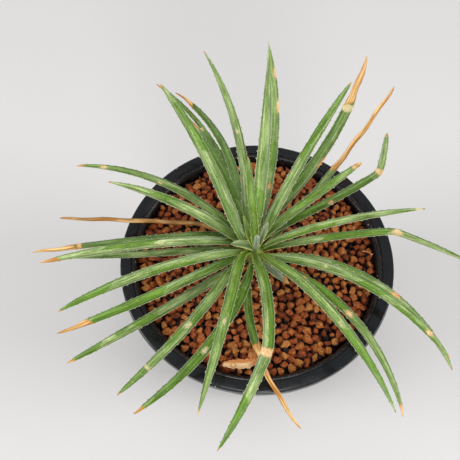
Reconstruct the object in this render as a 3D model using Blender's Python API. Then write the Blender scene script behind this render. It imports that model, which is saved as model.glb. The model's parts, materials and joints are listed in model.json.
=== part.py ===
"""Potted dyckia: a spiny rosette in a black nursery pot under fired-clay granules.

Metres, +Z up. The origin is the centre of the pot's foot on the floor. North is +Y.
"""
import math
from collections import namedtuple

import bmesh
import bpy
import numpy as np
from mathutils import Matrix, Vector
from mathutils.geometry import delaunay_2d_cdt

MM = 0.001
GAP = 0.35 * MM

# Pot: a 5 inch nursery pot, 130 mm across the lip
POT_HEIGHT = 100 * MM
LIP_RADIUS = 65 * MM
LIP_FACE = 5.2 * MM
LIP_SKIRT = 4 * MM
LIP_THICKNESS = 1.3 * MM
LIP_ROUNDING = 1.1 * MM
LIP_GROOVE = 0.4 * MM
SHOULDER_DROP = 0.7 * MM
SHOULDER_WIDTH = 1.6 * MM
SHOULDER_EDGE = 2.2 * MM
SKIRT_EDGE = 0.3 * MM
NECK_RADIUS = 58.6 * MM
WALL = 1.5 * MM
FOOT_RADIUS = 41.5 * MM
FOOT_RING = 7 * MM
FOOT_RISE = 2.5 * MM
FOOT_BEVEL = 0.8 * MM
FOOT_PAD_RADIUS = 14 * MM
FLOOR_THICKNESS = 1.6 * MM
POT_SIDES = 56
DRAIN_HOLES = 6
DRAIN_RADIUS = 3.6 * MM
DRAIN_CIRCLE = 24 * MM
DRAIN_SIDES = 12
FOOT_NOTCHES = 4
FOOT_NOTCH_WIDTH = 6 * MM
FOOT_NOTCH_HEIGHT = 1.6 * MM
OVERSHOOT = 1 * MM

# Filling: soil below, granules on top
MIX_TOP = 90 * MM
SOIL_EDGE_HEIGHT = 95.6 * MM
SOIL_CROWN = 1.0 * MM
GRANULES = 730
GRANULE_SIZES = (3.0 * MM, 4.8 * MM)
GRANULE_RISES = (0.95 * MM, 1.4 * MM)
GRANULE_SCATTER = 0.6 * MM
GRANULE_PACKING = 0.92
PACKING_ROUNDS = 80
PACKING_EDGE = 56.4 * MM
GAP_DEPTHS = (0.1 * MM, 0.5 * MM)
GAP_REACH = 7 * MM
DRESSING_SIDES = 96
GOLDEN_ANGLE = math.pi * (3 - math.sqrt(5))

# Stem: a leaning column in a plain hole
STEM_FOOT = Vector((-1.5, 2.9, 72.0)) * MM
STEM_LOW = Vector((-1.5, 2.5, 99.6)) * MM
STEM_HIGH = Vector((-1.0, -1.0, 110.6)) * MM
STEM_ROOT_RADIUS = 4.8 * MM
STEM_LOW_RADIUS = 5.6 * MM
STEM_HIGH_RADIUS = 1.2 * MM
STEM_SIDES = 20
STEM_CAP = 0.2 * MM
HEART_STEP = 0.4 * MM
HEART_RISE = 0.9 * MM
HEART_RADII = (1.5 * MM, 1.7 * MM, 0.6 * MM)
HEART_SIDES = 12
HEART_SEAT = 0.7 * MM

# Leaves: a channelled blade with hooked teeth along both margins
MARGIN_THICKNESS = 0.6 * MM
MIDDLE_THICKNESS = 0.9 * MM
THINNING = 0.3
CHANNEL = 0.3
BASE_SHARE = 0.42
BASE_SPREAD = 2.8
TIP_POWER = 4.5
TIP_HALF_WIDTH = 0.15 * MM
SEAT_TURN_LENGTH = 6 * MM
KINK_SPREAD = 0.012
TOOTH_PAIRS = 7
SHORT_LEAF = 30
TOOTH_FIRST = 0.12
TOOTH_LAST = 0.93
TOOTH_HEIGHT = 1.0 * MM
TOOTH_SHRINK = 0.4
TOOTH_HALF_BASE = 0.7 * MM
TOOTH_HOOK = 0.25 * MM
TOOTH_THINNING = 0.2 * MM
PATH_STEPS = 240

# Fallen sheath: a dry strip on the granules near the south wall
SHEATH_START = Vector((-16.0, -51.6, 97.15)) * MM
SHEATH_LENGTH = 18 * MM
SHEATH_WIDTH = 5 * MM
SHEATH_THICKNESS = 0.7 * MM
SHEATH_TURN = 70
SHEATH_CURL = 0.8 * MM
SHEATH_ARCH = 0.25 * MM
SHEATH_STEPS = 12
SHEATH_COLUMNS = 4

Leaf = namedtuple("Leaf", "name seat heading sweep rise fall length width kinks tip",
                  defaults=((), 0.65))

# One row for each leaf, lowest on the stem first. Angles in degrees, anticlockwise from east:
# seat is where it stands on the stem, heading is where it points and sweep how far that turns
# by its tip; rise and fall are its slope at the base and at the tip. Length and width in
# millimetres. A kink is (share of the length, turn, lift). The last number says how early the
# blade narrows: a low one keeps its width almost to the end, a high one makes a long point.
LEAVES = [
    Leaf("w_dead", 136, 163.5, -1.5, 10.5, 5, 90, 2.6, ((0.27, 19, 0),), 0.5),
    Leaf("se_stub", -52, -47, 6, 16, 2, 18, 4.0),
    Leaf("ne_dry", 34, 43.5, 12, 18, 12, 104, 3.0, (), 0.4),
    Leaf("s_dry", -104, -101.5, 52.5, 16, -16, 83, 3.4, (), 0.45),
    Leaf("w_dark", 130, 196, -5, 24, 4, 100, 3.4),
    Leaf("w_under", 172, 196, -14, 18, 2, 85, 3.4),
    Leaf("wsw", -132, -138, -12, 20, 0, 95, 4.4),
    Leaf("nw_dark", 114, 93.5, 53.5, 20, 14, 94, 2.6),
    Leaf("e_upper", -18, -3, -64, 20, -14, 103, 4.0),
    Leaf("n_curl", 135, 75, 75.5, 30, 16, 84, 4.0),
    Leaf("se_under", -45, -23, -56.5, 19, -14, 98, 4.0, (), 0.75),
    Leaf("nne_dry", 88, 31.5, 41.5, 25.5, 22, 105, 5.4, (), 0.6),
    Leaf("ne_broken", 57, 14.5, 18.5, 24, 10, 85, 3.8, ((0.77, 46, 8),), 0.35),
    Leaf("sw_under", -99, -100.5, -46.5, 22, -8, 93, 4.6),
    Leaf("sw", -145, -110, -32, 28, -14, 90, 4.4),
    Leaf("wnw_spot", 137, 136, 49, 28, 8, 90, 4.0),
    Leaf("n_behind", 85, 68, 32.5, 30, 24, 95, 5.0, (), 0.9),
    Leaf("e_bent", 6, -1, -3, 28, 4, 98, 3.8, ((0.62, -22, -10),), 0.7),
    Leaf("w_long", 158, 196, 0, 34, 2, 96, 4.4),
    Leaf("nnw_back", 120, 103, 37.5, 38.5, 19, 76, 3.6),
    Leaf("e_lower", -34, -12.5, -41, 30, -18, 98, 4.4),
    Leaf("wsw_long", -152, -138, -21, 28, -2, 95, 4.4),
    Leaf("n_tall", 118, 82.5, 44, 43, 29.5, 92, 4.2, (), 0.95),
    Leaf("ne", 60, 23, 8, 36, 20, 61, 4.4, (), 0.4),
    Leaf("wnw", 155, 155, 17, 38, 10, 72, 5.0, (), 0.9),
    Leaf("ene", 18, 3.5, 1.5, 40, 0, 77, 3.8, (), 0.85),
    Leaf("wsw_high", -160, -155, 0.5, 38, -12, 93, 4.7),
    Leaf("nne", 59, 57.5, -6.5, 44, 26, 85, 4.6),
    Leaf("se", -53, -48.5, -10.5, 44, -36, 99, 4.6, (), 0.95),
    Leaf("nnw", 155, 113.5, 17.5, 46, 24, 85, 5.4),
    Leaf("n_front", 95, 78, 12.5, 50, 30, 92, 5.6, (), 1.8),
    Leaf("s_left", -153, -96, -13.5, 45, -30, 87, 4.6, (), 0.95),
    Leaf("s", -94, -71.5, -42.5, 46, -36, 103, 4.8, ((0.56, -14, 0),), 0.8),
    Leaf("n_young", 90, 106, -8, 62, 56, 45, 3.4),
]

# The youngest leaves, which stand together round the growing point
HEART_LEAVES = [
    Leaf("w_round", 168, 177, 8, 50, -10, 12, 4.0),
    Leaf("nw_narrow", 150, 125, -15, 66, 60, 20, 2.2),
    Leaf("ne_silver", 46, 55, 6, 60, 50, 15, 2.8),
    Leaf("n_small", 130, 105, -20, 76, 74, 23, 2.2),
    Leaf("youngest", 100, 88, -12, 70, 66, 6.5, 2.4),
]


def clear_scene():
    for old in list(bpy.data.objects):
        bpy.data.objects.remove(old, do_unlink=True)


def make_material(name, colour, roughness, metallic=0.0):
    material = bpy.data.materials.new(name)
    material.use_nodes = True
    shader = material.node_tree.nodes["Principled BSDF"]
    shader.inputs["Base Color"].default_value = (*colour, 1.0)
    shader.inputs["Roughness"].default_value = roughness
    shader.inputs["Metallic"].default_value = metallic
    return material


def make_object(name, points, faces, material, smooth=True):
    mesh = bpy.data.meshes.new(name)
    mesh.from_pydata([tuple(point) for point in points], [], [tuple(face) for face in faces])
    mesh.materials.append(material)
    if smooth:
        mesh.shade_smooth()
        mesh.set_sharp_from_angle(angle=math.radians(35))
    mesh.update()
    made = bpy.data.objects.new(name, mesh)
    bpy.context.collection.objects.link(made)
    return made


def turned(profile, sides):
    """Points and faces of a solid turned about Z.

    The profile runs from the axis round the outside and back to the axis.
    """
    points = [Vector((0, 0, profile[0][1]))]
    for radius, height in profile[1:-1]:
        for side in range(sides):
            angle = math.tau * side / sides
            points.append(Vector((radius * math.cos(angle), radius * math.sin(angle), height)))
    points.append(Vector((0, 0, profile[-1][1])))
    faces = []
    rings = len(profile) - 2
    for side in range(sides):
        after = (side + 1) % sides
        faces.append((0, 1 + after, 1 + side))
        last = 1 + (rings - 1) * sides
        faces.append((last + side, last + after, len(points) - 1))
        for ring in range(rings - 1):
            low = 1 + ring * sides
            high = low + sides
            faces.append((low + side, low + after, high + after, high + side))
    return points, faces


def column(rings, sides):
    """Points and faces of a closed column through level rings, each a centre and a radius."""
    points = []
    for centre, radius in rings:
        for side in range(sides):
            angle = math.tau * side / sides
            points.append(centre + radius * Vector((math.cos(angle), math.sin(angle), 0)))
    faces = [tuple(reversed(range(sides)))]
    for ring in range(len(rings) - 1):
        for side in range(sides):
            after = (side + 1) % sides
            low = ring * sides
            high = low + sides
            faces.append((low + side, low + after, high + after, high + side))
    last = (len(rings) - 1) * sides
    faces.append(tuple(range(last, last + sides)))
    return points, faces


def apply_boolean(target, others, operation):
    """Join the target with other objects or cut them from it, in one step, and remove them."""
    group = bpy.data.collections.new("operands")
    bpy.context.scene.collection.children.link(group)
    for other in others:
        bpy.context.collection.objects.unlink(other)
        group.objects.link(other)
    modifier = target.modifiers.new("boolean", "BOOLEAN")
    modifier.operation = operation
    modifier.operand_type = "COLLECTION"
    modifier.collection = group
    bpy.context.view_layer.update()
    evaluated = target.evaluated_get(bpy.context.evaluated_depsgraph_get())
    result = bpy.data.meshes.new_from_object(evaluated)
    target.modifiers.remove(modifier)
    old = target.data
    target.data = result
    bpy.data.meshes.remove(old)
    for other in others:
        bpy.data.objects.remove(other, do_unlink=True)
    bpy.data.collections.remove(group)


def make_cutter(name, shape):
    """A cutting object from a bmesh, marked as one that is not part of the model."""
    mesh = bpy.data.meshes.new(name)
    shape.to_mesh(mesh)
    shape.free()
    cutter = bpy.data.objects.new(name, mesh)
    bpy.context.collection.objects.link(cutter)
    cutter.hide_render = True
    cutter.display_type = "WIRE"
    return cutter


def make_drill(radius, low, high, place, sides):
    """An upright cylinder between two heights, over a point of the ground plane."""
    shape = bmesh.new()
    centre = Matrix.Translation((place[0], place[1], (low + high) / 2))
    bmesh.ops.create_cone(shape, cap_ends=True, segments=sides, radius1=radius, radius2=radius,
                          depth=high - low, matrix=centre)
    return make_cutter("drill", shape)


def wall_radius(height):
    """Inner radius of the pot's wall at a height."""
    neck = NECK_RADIUS - WALL
    foot = FOOT_RADIUS - WALL
    return foot + (neck - foot) * height / (POT_HEIGHT - LIP_THICKNESS)


def make_pot(material):
    """The pot: foot with drain holes, tapered wall, and a turned-out lip stepped down inside."""
    floor = FOOT_RISE + FLOOR_THICKNESS
    under_lip = POT_HEIGHT - LIP_THICKNESS
    skirt_foot = POT_HEIGHT - LIP_SKIRT
    face_inner = LIP_RADIUS - LIP_FACE
    shoulder = POT_HEIGHT - SHOULDER_EDGE
    profile = [
        (0, 0),
        (FOOT_PAD_RADIUS, 0),
        (FOOT_PAD_RADIUS, FOOT_RISE),
        (FOOT_RADIUS - FOOT_RING, FOOT_RISE),
        (FOOT_RADIUS - FOOT_RING, 0),
        (FOOT_RADIUS - FOOT_BEVEL, 0),
        (FOOT_RADIUS, FOOT_BEVEL),
        (NECK_RADIUS, under_lip),
        (LIP_RADIUS - LIP_THICKNESS, under_lip),
        (LIP_RADIUS - LIP_THICKNESS, skirt_foot),
        (LIP_RADIUS - SKIRT_EDGE, skirt_foot),
        (LIP_RADIUS, skirt_foot + SKIRT_EDGE),
        (LIP_RADIUS, POT_HEIGHT - LIP_ROUNDING),
        (LIP_RADIUS - 0.3 * LIP_ROUNDING, POT_HEIGHT - 0.3 * LIP_ROUNDING),
        (LIP_RADIUS - LIP_ROUNDING, POT_HEIGHT),
        (face_inner, POT_HEIGHT),
        (face_inner - LIP_GROOVE, POT_HEIGHT - LIP_GROOVE),
        (face_inner - SHOULDER_WIDTH, POT_HEIGHT - SHOULDER_DROP),
        (wall_radius(shoulder), shoulder),
        (wall_radius(floor), floor),
        (0, floor),
    ]
    points, faces = turned(profile, POT_SIDES)
    pot = make_object("pot", points, faces, material)
    pot.data.set_sharp_from_angle(angle=math.radians(30))
    cutters = []
    for hole in range(DRAIN_HOLES):
        angle = math.tau * (hole + 0.5) / DRAIN_HOLES
        place = (DRAIN_CIRCLE * math.cos(angle), DRAIN_CIRCLE * math.sin(angle))
        cutters.append(make_drill(DRAIN_RADIUS, -OVERSHOOT, floor + OVERSHOOT, place, DRAIN_SIDES))
    for notch in range(FOOT_NOTCHES):
        shape = bmesh.new()
        turn = Matrix.Rotation(math.tau * notch / FOOT_NOTCHES, 4, "Z")
        centre = Matrix.Translation((FOOT_RADIUS - FOOT_RING / 2, 0, 0))
        size = Matrix.Diagonal((FOOT_RING + 2 * OVERSHOOT, FOOT_NOTCH_WIDTH, 2 * FOOT_NOTCH_HEIGHT, 1))
        bmesh.ops.create_cube(shape, size=1, matrix=turn @ centre @ size)
        cutters.append(make_cutter("foot_notch", shape))
    apply_boolean(pot, cutters, "DIFFERENCE")
    return pot


def make_potting_mix(material):
    """The soil: fills the pot below the granules, with a plain hole for the stem."""
    low = FOOT_RISE + FLOOR_THICKNESS + GAP
    profile = [
        (0, low),
        (wall_radius(low) - GAP, low),
        (wall_radius(MIX_TOP) - GAP, MIX_TOP),
        (0, MIX_TOP),
    ]
    points, faces = turned(profile, POT_SIDES)
    mix = make_object("potting_mix", points, faces, material)
    drill = make_drill(STEM_ROOT_RADIUS + GAP, STEM_FOOT.z - GAP, MIX_TOP + OVERSHOOT,
                       STEM_FOOT, STEM_SIDES)
    apply_boolean(mix, [drill], "DIFFERENCE")
    return mix


def soil_height(radius):
    """Height of the granules' bed: highest in the middle, falling as the square of the radius."""
    share = radius / wall_radius(SOIL_EDGE_HEIGHT)
    return SOIL_EDGE_HEIGHT + SOIL_CROWN * (1 - share * share)


def granule_places(draw, sizes):
    """Where granules of these sizes lie in the ground plane.

    They start on a sunflower spiral. In each round, two that overlap move apart along the line
    between them, and then each moves back off the stem and inside the pot's wall.
    """
    number = np.arange(len(sizes))
    radius = PACKING_EDGE * np.sqrt((number + 0.5) / len(sizes))
    angle = number * GOLDEN_ANGLE
    places = np.stack([radius * np.cos(angle), radius * np.sin(angle)], -1)
    places += draw.normal(0, GRANULE_SCATTER, places.shape)
    reach = GRANULE_PACKING * (sizes[:, None] + sizes) / 2
    stem = np.array(STEM_FOOT)[:2]
    for _ in range(PACKING_ROUNDS):
        apart = places[:, None] - places
        distance = np.linalg.norm(apart, axis=-1)
        np.fill_diagonal(distance, np.inf)
        overlap = np.clip(reach / distance - 1, 0, 1)
        places += 0.3 * (apart * overlap[..., None]).sum(1)
        from_stem = places - stem
        clear = (STEM_ROOT_RADIUS + sizes / 2) / np.linalg.norm(from_stem, axis=1)
        places = stem + from_stem * np.maximum(1, clear)[:, None]
        inside = (PACKING_EDGE - sizes / 2) / np.linalg.norm(places, axis=1)
        places *= np.minimum(1, inside)[:, None]
    return places


def triangles_between(places):
    """Delaunay triangles between points of the ground plane."""
    flat = [Vector(place) / MM for place in places]
    return np.array(delaunay_2d_cdt(flat, [], [], 0, 0.001)[2])


def make_top_dressing(material):
    """The granules, as a relief on one disc.

    Each granule's top is a point, and so is the gap in the middle of three tops that lie together.
    """
    draw = np.random.default_rng(11)
    sizes = draw.uniform(*GRANULE_SIZES, GRANULES)
    rises = draw.uniform(*GRANULE_RISES, GRANULES)
    tops = granule_places(draw, sizes)
    corners = tops[triangles_between(tops)]
    longest = np.linalg.norm(corners - np.roll(corners, 1, axis=1), axis=-1).max(1)
    gaps = corners[longest < GAP_REACH].mean(1)
    low = MIX_TOP + GAP
    angle = np.arange(DRESSING_SIDES) * math.tau / DRESSING_SIDES
    rim = (wall_radius(low) - GAP) * np.stack([np.cos(angle), np.sin(angle)], -1)
    flat = np.concatenate([rim, tops, gaps])
    height = soil_height(np.linalg.norm(flat, axis=1))
    height[DRESSING_SIDES:-len(gaps)] += rises
    height[-len(gaps):] -= draw.uniform(*GAP_DEPTHS, len(gaps))
    points = np.concatenate([flat, height[:, None]], 1).tolist()
    faces = triangles_between(flat).tolist()
    first = len(points)
    points += [(x, y, low) for x, y in rim]
    points.append((0, 0, low))
    for side in range(DRESSING_SIDES):
        after = (side + 1) % DRESSING_SIDES
        faces.append((side, first + side, first + after, after))
        faces.append((first + side, len(points) - 1, first + after))
    dressing = make_object("top_dressing", points, faces, material, smooth=False)
    drill = make_drill(STEM_ROOT_RADIUS + GAP, low - OVERSHOOT, POT_HEIGHT, STEM_FOOT, STEM_SIDES)
    apply_boolean(dressing, [drill], "DIFFERENCE")
    return dressing


def stem_axis(height):
    """Centre of the stem at a height: a straight line that leans towards the south."""
    share = (height - STEM_LOW.z) / (STEM_HIGH.z - STEM_LOW.z)
    return STEM_LOW.lerp(STEM_HIGH, share)


def stem_radius(height):
    share = (height - STEM_LOW.z) / (STEM_HIGH.z - STEM_LOW.z)
    return STEM_LOW_RADIUS + (STEM_HIGH_RADIUS - STEM_LOW_RADIUS) * share


def seat_height(rank):
    """Height at which a leaf stands on the stem; each leaf is one step above the last."""
    steps = len(LEAVES) + len(HEART_LEAVES) - 1
    return STEM_LOW.z + (STEM_HIGH.z - STEM_LOW.z) * rank / steps


def stem_top():
    """Height where the stem ends, just above the seat of its youngest separate leaf."""
    return seat_height(len(LEAVES) - 1) + STEM_CAP


def make_stem(material):
    """The stem: round, straight in its hole, then leaning and narrowing to the growing point."""
    top = stem_top()
    soil = soil_height(0) + GRANULE_RISES[1]
    bevel = 1 * MM
    rings = [
        (STEM_FOOT, STEM_ROOT_RADIUS - bevel),
        (STEM_FOOT + Vector((0, 0, bevel)), STEM_ROOT_RADIUS),
        (Vector((STEM_FOOT.x, STEM_FOOT.y, soil)), STEM_ROOT_RADIUS),
        (STEM_LOW, STEM_LOW_RADIUS),
        (stem_axis(top), stem_radius(top)),
    ]
    points, faces = column(rings, STEM_SIDES)
    return make_object("stem", points, faces, material)


def leaf_directions(leaf, share):
    """Heading and slope along a leaf, in radians.

    Both change evenly from base to tip. The base leaves the stem square to it and turns to
    the heading within a few millimetres, and a kink is a sudden further turn.
    """
    length = leaf.length * MM
    leaving = (leaf.seat - leaf.heading + 180) % 360 - 180
    heading = leaf.heading + leaf.sweep * share + leaving * np.exp(-share * length / SEAT_TURN_LENGTH)
    slope = leaf.rise + (leaf.fall - leaf.rise) * share
    for place, turn, lift in leaf.kinks:
        past = 1 / (1 + np.exp((place - share) / KINK_SPREAD))
        heading = heading + turn * past
        slope = slope + lift * past
    return np.radians(heading), np.radians(slope)


def tangents(leaf, share):
    heading, slope = leaf_directions(leaf, share)
    level = np.cos(slope)
    return np.stack([level * np.cos(heading), level * np.sin(heading), np.sin(slope)], -1)


def leaf_path(leaf, base, share):
    """Centre line, tangent, side and upper direction of a leaf at the given shares of its length."""
    steps = np.linspace(0, 1, PATH_STEPS + 1)
    along = tangents(leaf, steps)
    moves = (along[1:] + along[:-1]) / 2 * leaf.length * MM / PATH_STEPS
    path = np.concatenate([np.zeros((1, 3)), np.cumsum(moves, 0)]) + np.array(base)
    centre = np.stack([np.interp(share, steps, path[:, axis]) for axis in range(3)], -1)
    heading = leaf_directions(leaf, share)[0]
    side = np.stack([-np.sin(heading), np.cos(heading), np.zeros_like(heading)], -1)
    tangent = tangents(leaf, share)
    return centre, tangent, side, np.cross(tangent, side)


def leaf_stations(leaf):
    """Shares of the length where the blade has a section, and 1 at the tip of each tooth pair."""
    pairs = TOOTH_PAIRS if leaf.length > SHORT_LEAF else 2
    half = TOOTH_HALF_BASE / (leaf.length * MM)
    shares = [0.0]
    teeth = [0]
    for middle in np.linspace(TOOTH_FIRST, min(TOOTH_LAST, 1 - 1.5 * half), pairs):
        shares += [middle - half, middle + 0.4 * half, middle + half]
        teeth += [0, 1, 0]
    return np.array(shares), np.array(teeth)


def leaf_shape(leaf, base):
    """Points and triangles of a leaf.

    Six points to a section: margin, middle and margin above, and the same below. Every
    diagonal runs from a margin to the middle of the next section, above and below alike.
    """
    share, tooth = leaf_stations(leaf)
    centre, tangent, side, up = leaf_path(leaf, base, share)
    spread = np.minimum(BASE_SHARE + BASE_SPREAD * share, 1)
    taper = (1 - share ** TIP_POWER) ** leaf.tip
    half_width = leaf.width * MM / 2 * spread * taper + TIP_HALF_WIDTH
    reach = tooth * TOOTH_HEIGHT * (1 - TOOTH_SHRINK * share)
    channel = CHANNEL * half_width * (1 - THINNING * share)
    middle = MIDDLE_THICKNESS * (1 - THINNING * share) / 2
    margin = (MARGIN_THICKNESS - TOOTH_THINNING * tooth) / 2
    hook = TOOTH_HOOK * tooth
    sections = []
    for across, face in ((-1, 1), (0, 1), (1, 1), (1, -1), (0, -1), (-1, -1)):
        if across:
            height = channel + face * margin
        else:
            height = -channel + face * middle
        offset = side * (across * (half_width + reach))[:, None] + up * height[:, None]
        sections.append(centre + offset + tangent * (hook * abs(across))[:, None])
    points = list(np.stack(sections, 1).reshape(-1, 3))
    points.append(leaf_path(leaf, base, np.array([1.0]))[0][0])
    faces = []
    for station in range(len(share) - 1):
        for corner in range(6):
            here = 6 * station + corner
            after = 6 * station + (corner + 1) % 6
            if corner in (1, 4):
                faces.append((here, here + 6, after))
                faces.append((after, here + 6, after + 6))
            else:
                faces.append((here, after + 6, after))
                faces.append((here, here + 6, after + 6))
    last = 6 * (len(share) - 1)
    tip = len(points) - 1
    faces += [(last + corner, tip, last + (corner + 1) % 6) for corner in range(6)]
    faces += [(0, 1, 2), (0, 2, 5), (5, 2, 3), (5, 3, 4)]
    return points, faces


def leaf_base(leaf, rank):
    """Where a leaf stands: on the stem's side at its own height, a small gap clear of it."""
    height = seat_height(rank)
    reach = stem_radius(height) + GAP + 0.5 * MM * math.sin(math.radians(leaf.rise))
    seat = math.radians(leaf.seat)
    return stem_axis(height) + reach * Vector((math.cos(seat), math.sin(seat), 0))


def make_leaves(green, dead):
    for rank, leaf in enumerate(LEAVES):
        points, faces = leaf_shape(leaf, leaf_base(leaf, rank))
        material = dead if leaf.name == "w_dead" else green
        made = make_object("leaf_" + leaf.name, points, faces, material)
        made.data.set_sharp_from_angle(angle=math.radians(50))


def make_heart(material):
    """The growing point with the five youngest leaves, joined into one body."""
    low = stem_top() + HEART_STEP
    high = STEM_HIGH.z + HEART_RISE
    rings = []
    for share, radius in zip((0, 0.45, 1), HEART_RADII):
        rings.append((stem_axis(low + (high - low) * share), radius))
    points, faces = column(rings, HEART_SIDES)
    heart = make_object("heart", points, faces, material)
    blades = []
    for step, leaf in enumerate(HEART_LEAVES):
        height = low + (high - low) * (0.35 + 0.1 * step)
        seat = math.radians(leaf.seat)
        base = stem_axis(height) + HEART_SEAT * Vector((math.cos(seat), math.sin(seat), 0))
        points, faces = leaf_shape(leaf, base)
        blades.append(make_object("heart_" + leaf.name, points, faces, material))
    apply_boolean(heart, blades, "UNION")
    heart.data.set_sharp_from_angle(angle=math.radians(50))
    return heart


def make_fallen_sheath(material):
    """A dry leaf base, shed and lying on the granules.

    A strip that runs straight and then turns north, with its margins curled up. It is
    blunt at both ends and narrows towards the far one.
    """
    stations = np.linspace(0, 1, SHEATH_STEPS + 1)
    bend = np.clip((stations - 0.45) / 0.55, 0, 1)
    heading = math.radians(SHEATH_TURN) * bend ** 1.5
    step = SHEATH_LENGTH / SHEATH_STEPS
    x = SHEATH_START.x + step * np.concatenate([[0], np.cumsum(np.cos(heading[1:]))])
    y = SHEATH_START.y + step * np.concatenate([[0], np.cumsum(np.sin(heading[1:]))])
    z = SHEATH_START.z + SHEATH_ARCH * np.sin(math.pi * stations)
    blunt = np.sqrt(np.sin(math.pi * (0.12 + 0.76 * stations)))
    half = SHEATH_WIDTH / 2 * blunt * (1 - 0.25 * stations)
    across = np.linspace(-1, 1, SHEATH_COLUMNS + 1)
    middle = np.stack([x, y, z], -1)[:, None]
    side = np.stack([-np.sin(heading), np.cos(heading), 0 * heading], -1)[:, None]
    curl = SHEATH_CURL * across[:, None] ** 2 * np.array([0, 0, 1])
    under = (middle + side * (half[:, None] * across)[:, :, None] + curl).reshape(-1, 3)
    upper = under + np.array([0, 0, SHEATH_THICKNESS])
    row = SHEATH_COLUMNS + 1
    count = len(under)
    faces = []
    for along in range(SHEATH_STEPS):
        for column in range(SHEATH_COLUMNS):
            corner = along * row + column
            for a, b, c in ((corner, corner + row, corner + row + 1),
                            (corner, corner + row + 1, corner + 1)):
                faces.append((a + count, b + count, c + count))
                faces.append((c, b, a))
    edge = list(range(row))
    edge += [along * row + SHEATH_COLUMNS for along in range(1, SHEATH_STEPS + 1)]
    edge += [SHEATH_STEPS * row + column for column in reversed(range(SHEATH_COLUMNS))]
    edge += [along * row for along in reversed(range(1, SHEATH_STEPS))]
    for here, after in zip(edge, edge[1:] + edge[:1]):
        faces.append((here, here + count, after + count, after))
    return make_object("fallen_sheath", [*under, *upper], faces, material)


clear_scene()
make_pot(make_material("black_plastic", (0.012, 0.014, 0.017), 0.42))
make_potting_mix(make_material("soil", (0.05, 0.03, 0.02), 0.95))
make_top_dressing(make_material("fired_clay", (0.27, 0.075, 0.018), 0.9))
make_stem(make_material("stem_wood", (0.35, 0.3, 0.14), 0.8))
leaf_green = make_material("leaf_green", (0.13, 0.27, 0.06), 0.5)
dead_leaf = make_material("dead_leaf", (0.42, 0.17, 0.04), 0.75)
make_leaves(leaf_green, dead_leaf)
make_heart(make_material("young_green", (0.24, 0.42, 0.08), 0.5))
make_fallen_sheath(make_material("dry_sheath", (0.75, 0.55, 0.32), 0.8))
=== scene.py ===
import json
import math
from collections import namedtuple

import bmesh
import bpy
import numpy as np
from mathutils import Matrix

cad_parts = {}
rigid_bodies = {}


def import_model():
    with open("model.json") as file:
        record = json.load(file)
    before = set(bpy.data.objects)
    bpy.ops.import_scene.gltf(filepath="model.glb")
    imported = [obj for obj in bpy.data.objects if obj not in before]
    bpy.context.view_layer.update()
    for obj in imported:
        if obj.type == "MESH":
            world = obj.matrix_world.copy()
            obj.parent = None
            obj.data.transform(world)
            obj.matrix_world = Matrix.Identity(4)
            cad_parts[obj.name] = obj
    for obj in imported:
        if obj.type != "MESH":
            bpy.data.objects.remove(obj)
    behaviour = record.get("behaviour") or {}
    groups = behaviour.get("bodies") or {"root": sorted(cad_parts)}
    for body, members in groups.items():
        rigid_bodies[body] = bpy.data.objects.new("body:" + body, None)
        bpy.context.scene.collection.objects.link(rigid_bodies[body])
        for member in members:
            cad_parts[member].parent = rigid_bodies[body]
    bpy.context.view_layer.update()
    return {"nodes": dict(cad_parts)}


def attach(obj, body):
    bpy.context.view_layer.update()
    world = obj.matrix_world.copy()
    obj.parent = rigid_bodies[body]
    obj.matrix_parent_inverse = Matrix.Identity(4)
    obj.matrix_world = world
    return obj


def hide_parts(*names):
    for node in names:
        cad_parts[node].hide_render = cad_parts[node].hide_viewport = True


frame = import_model()


# Pot. A 5 inch nursery pot, one injection moulding in black polypropylene with a turned-out lip.
# The outline is turned about Z with every corner eased, and the drain holes and foot notches are
# cut through it. Sizes are in millimetres from here on, and become metres in make_piece.
MM = 0.001
POT_HEIGHT = 100
LIP_RADIUS = 65
LIP_FACE = 5.2
LIP_SKIRT = 4
LIP_THICKNESS = 1.3
SHOULDER_RADIUS = 58.2
SHOULDER_DROP = 0.7
WALL_TOP = 97.8
NECK_RADIUS = 58.6
WALL = 1.5
FOOT_RADIUS = 41.5
FOOT_RING = 7
FOOT_RISE = 2.5
FOOT_PAD_RADIUS = 14
POT_FLOOR = 4.1
POT_TURNS = 192
DRAIN_HOLES = 6
DRAIN_RADIUS = 3.6
DRAIN_CIRCLE = 24
FOOT_NOTCHES = 4
FOOT_NOTCH_WIDTH = 6
FOOT_NOTCH_HEIGHT = 1.6
CREASE_START = 0.4
CREASE_END = 0.9
CREASE_DROP = 0.8
SHARP_PLASTIC_ANGLE = 35
PLASTIC_BLACK = "#060709"
PLASTIC_GREY = "#16181c"
CLAY_DUST = "#4a3a30"
WHITE_DUST = "#c9c3ba"


def eased(corners, steps=5):
    """Outline whose corners (x, y, ease) are replaced by short parabolas.

    Each leaves and meets the straight runs at `ease` from its corner c, between the points a and
    b: p = (1 - t)^2 a + 2 t (1 - t) c + t^2 b.
    """
    t = np.linspace(0, 1, steps)[:, None]
    outline = [np.array([corners[0][:2]], float)]
    for before, corner, after in zip(corners, corners[1:], corners[2:]):
        place = np.array(corner[:2], float)
        back = np.array(before[:2]) - place
        on = np.array(after[:2]) - place
        a = place + corner[2] * back / np.linalg.norm(back)
        b = place + corner[2] * on / np.linalg.norm(on)
        outline.append((1 - t) ** 2 * a + 2 * t * (1 - t) * place + t ** 2 * b)
    outline.append(np.array([corners[-1][:2]], float))
    return np.concatenate(outline)


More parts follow.
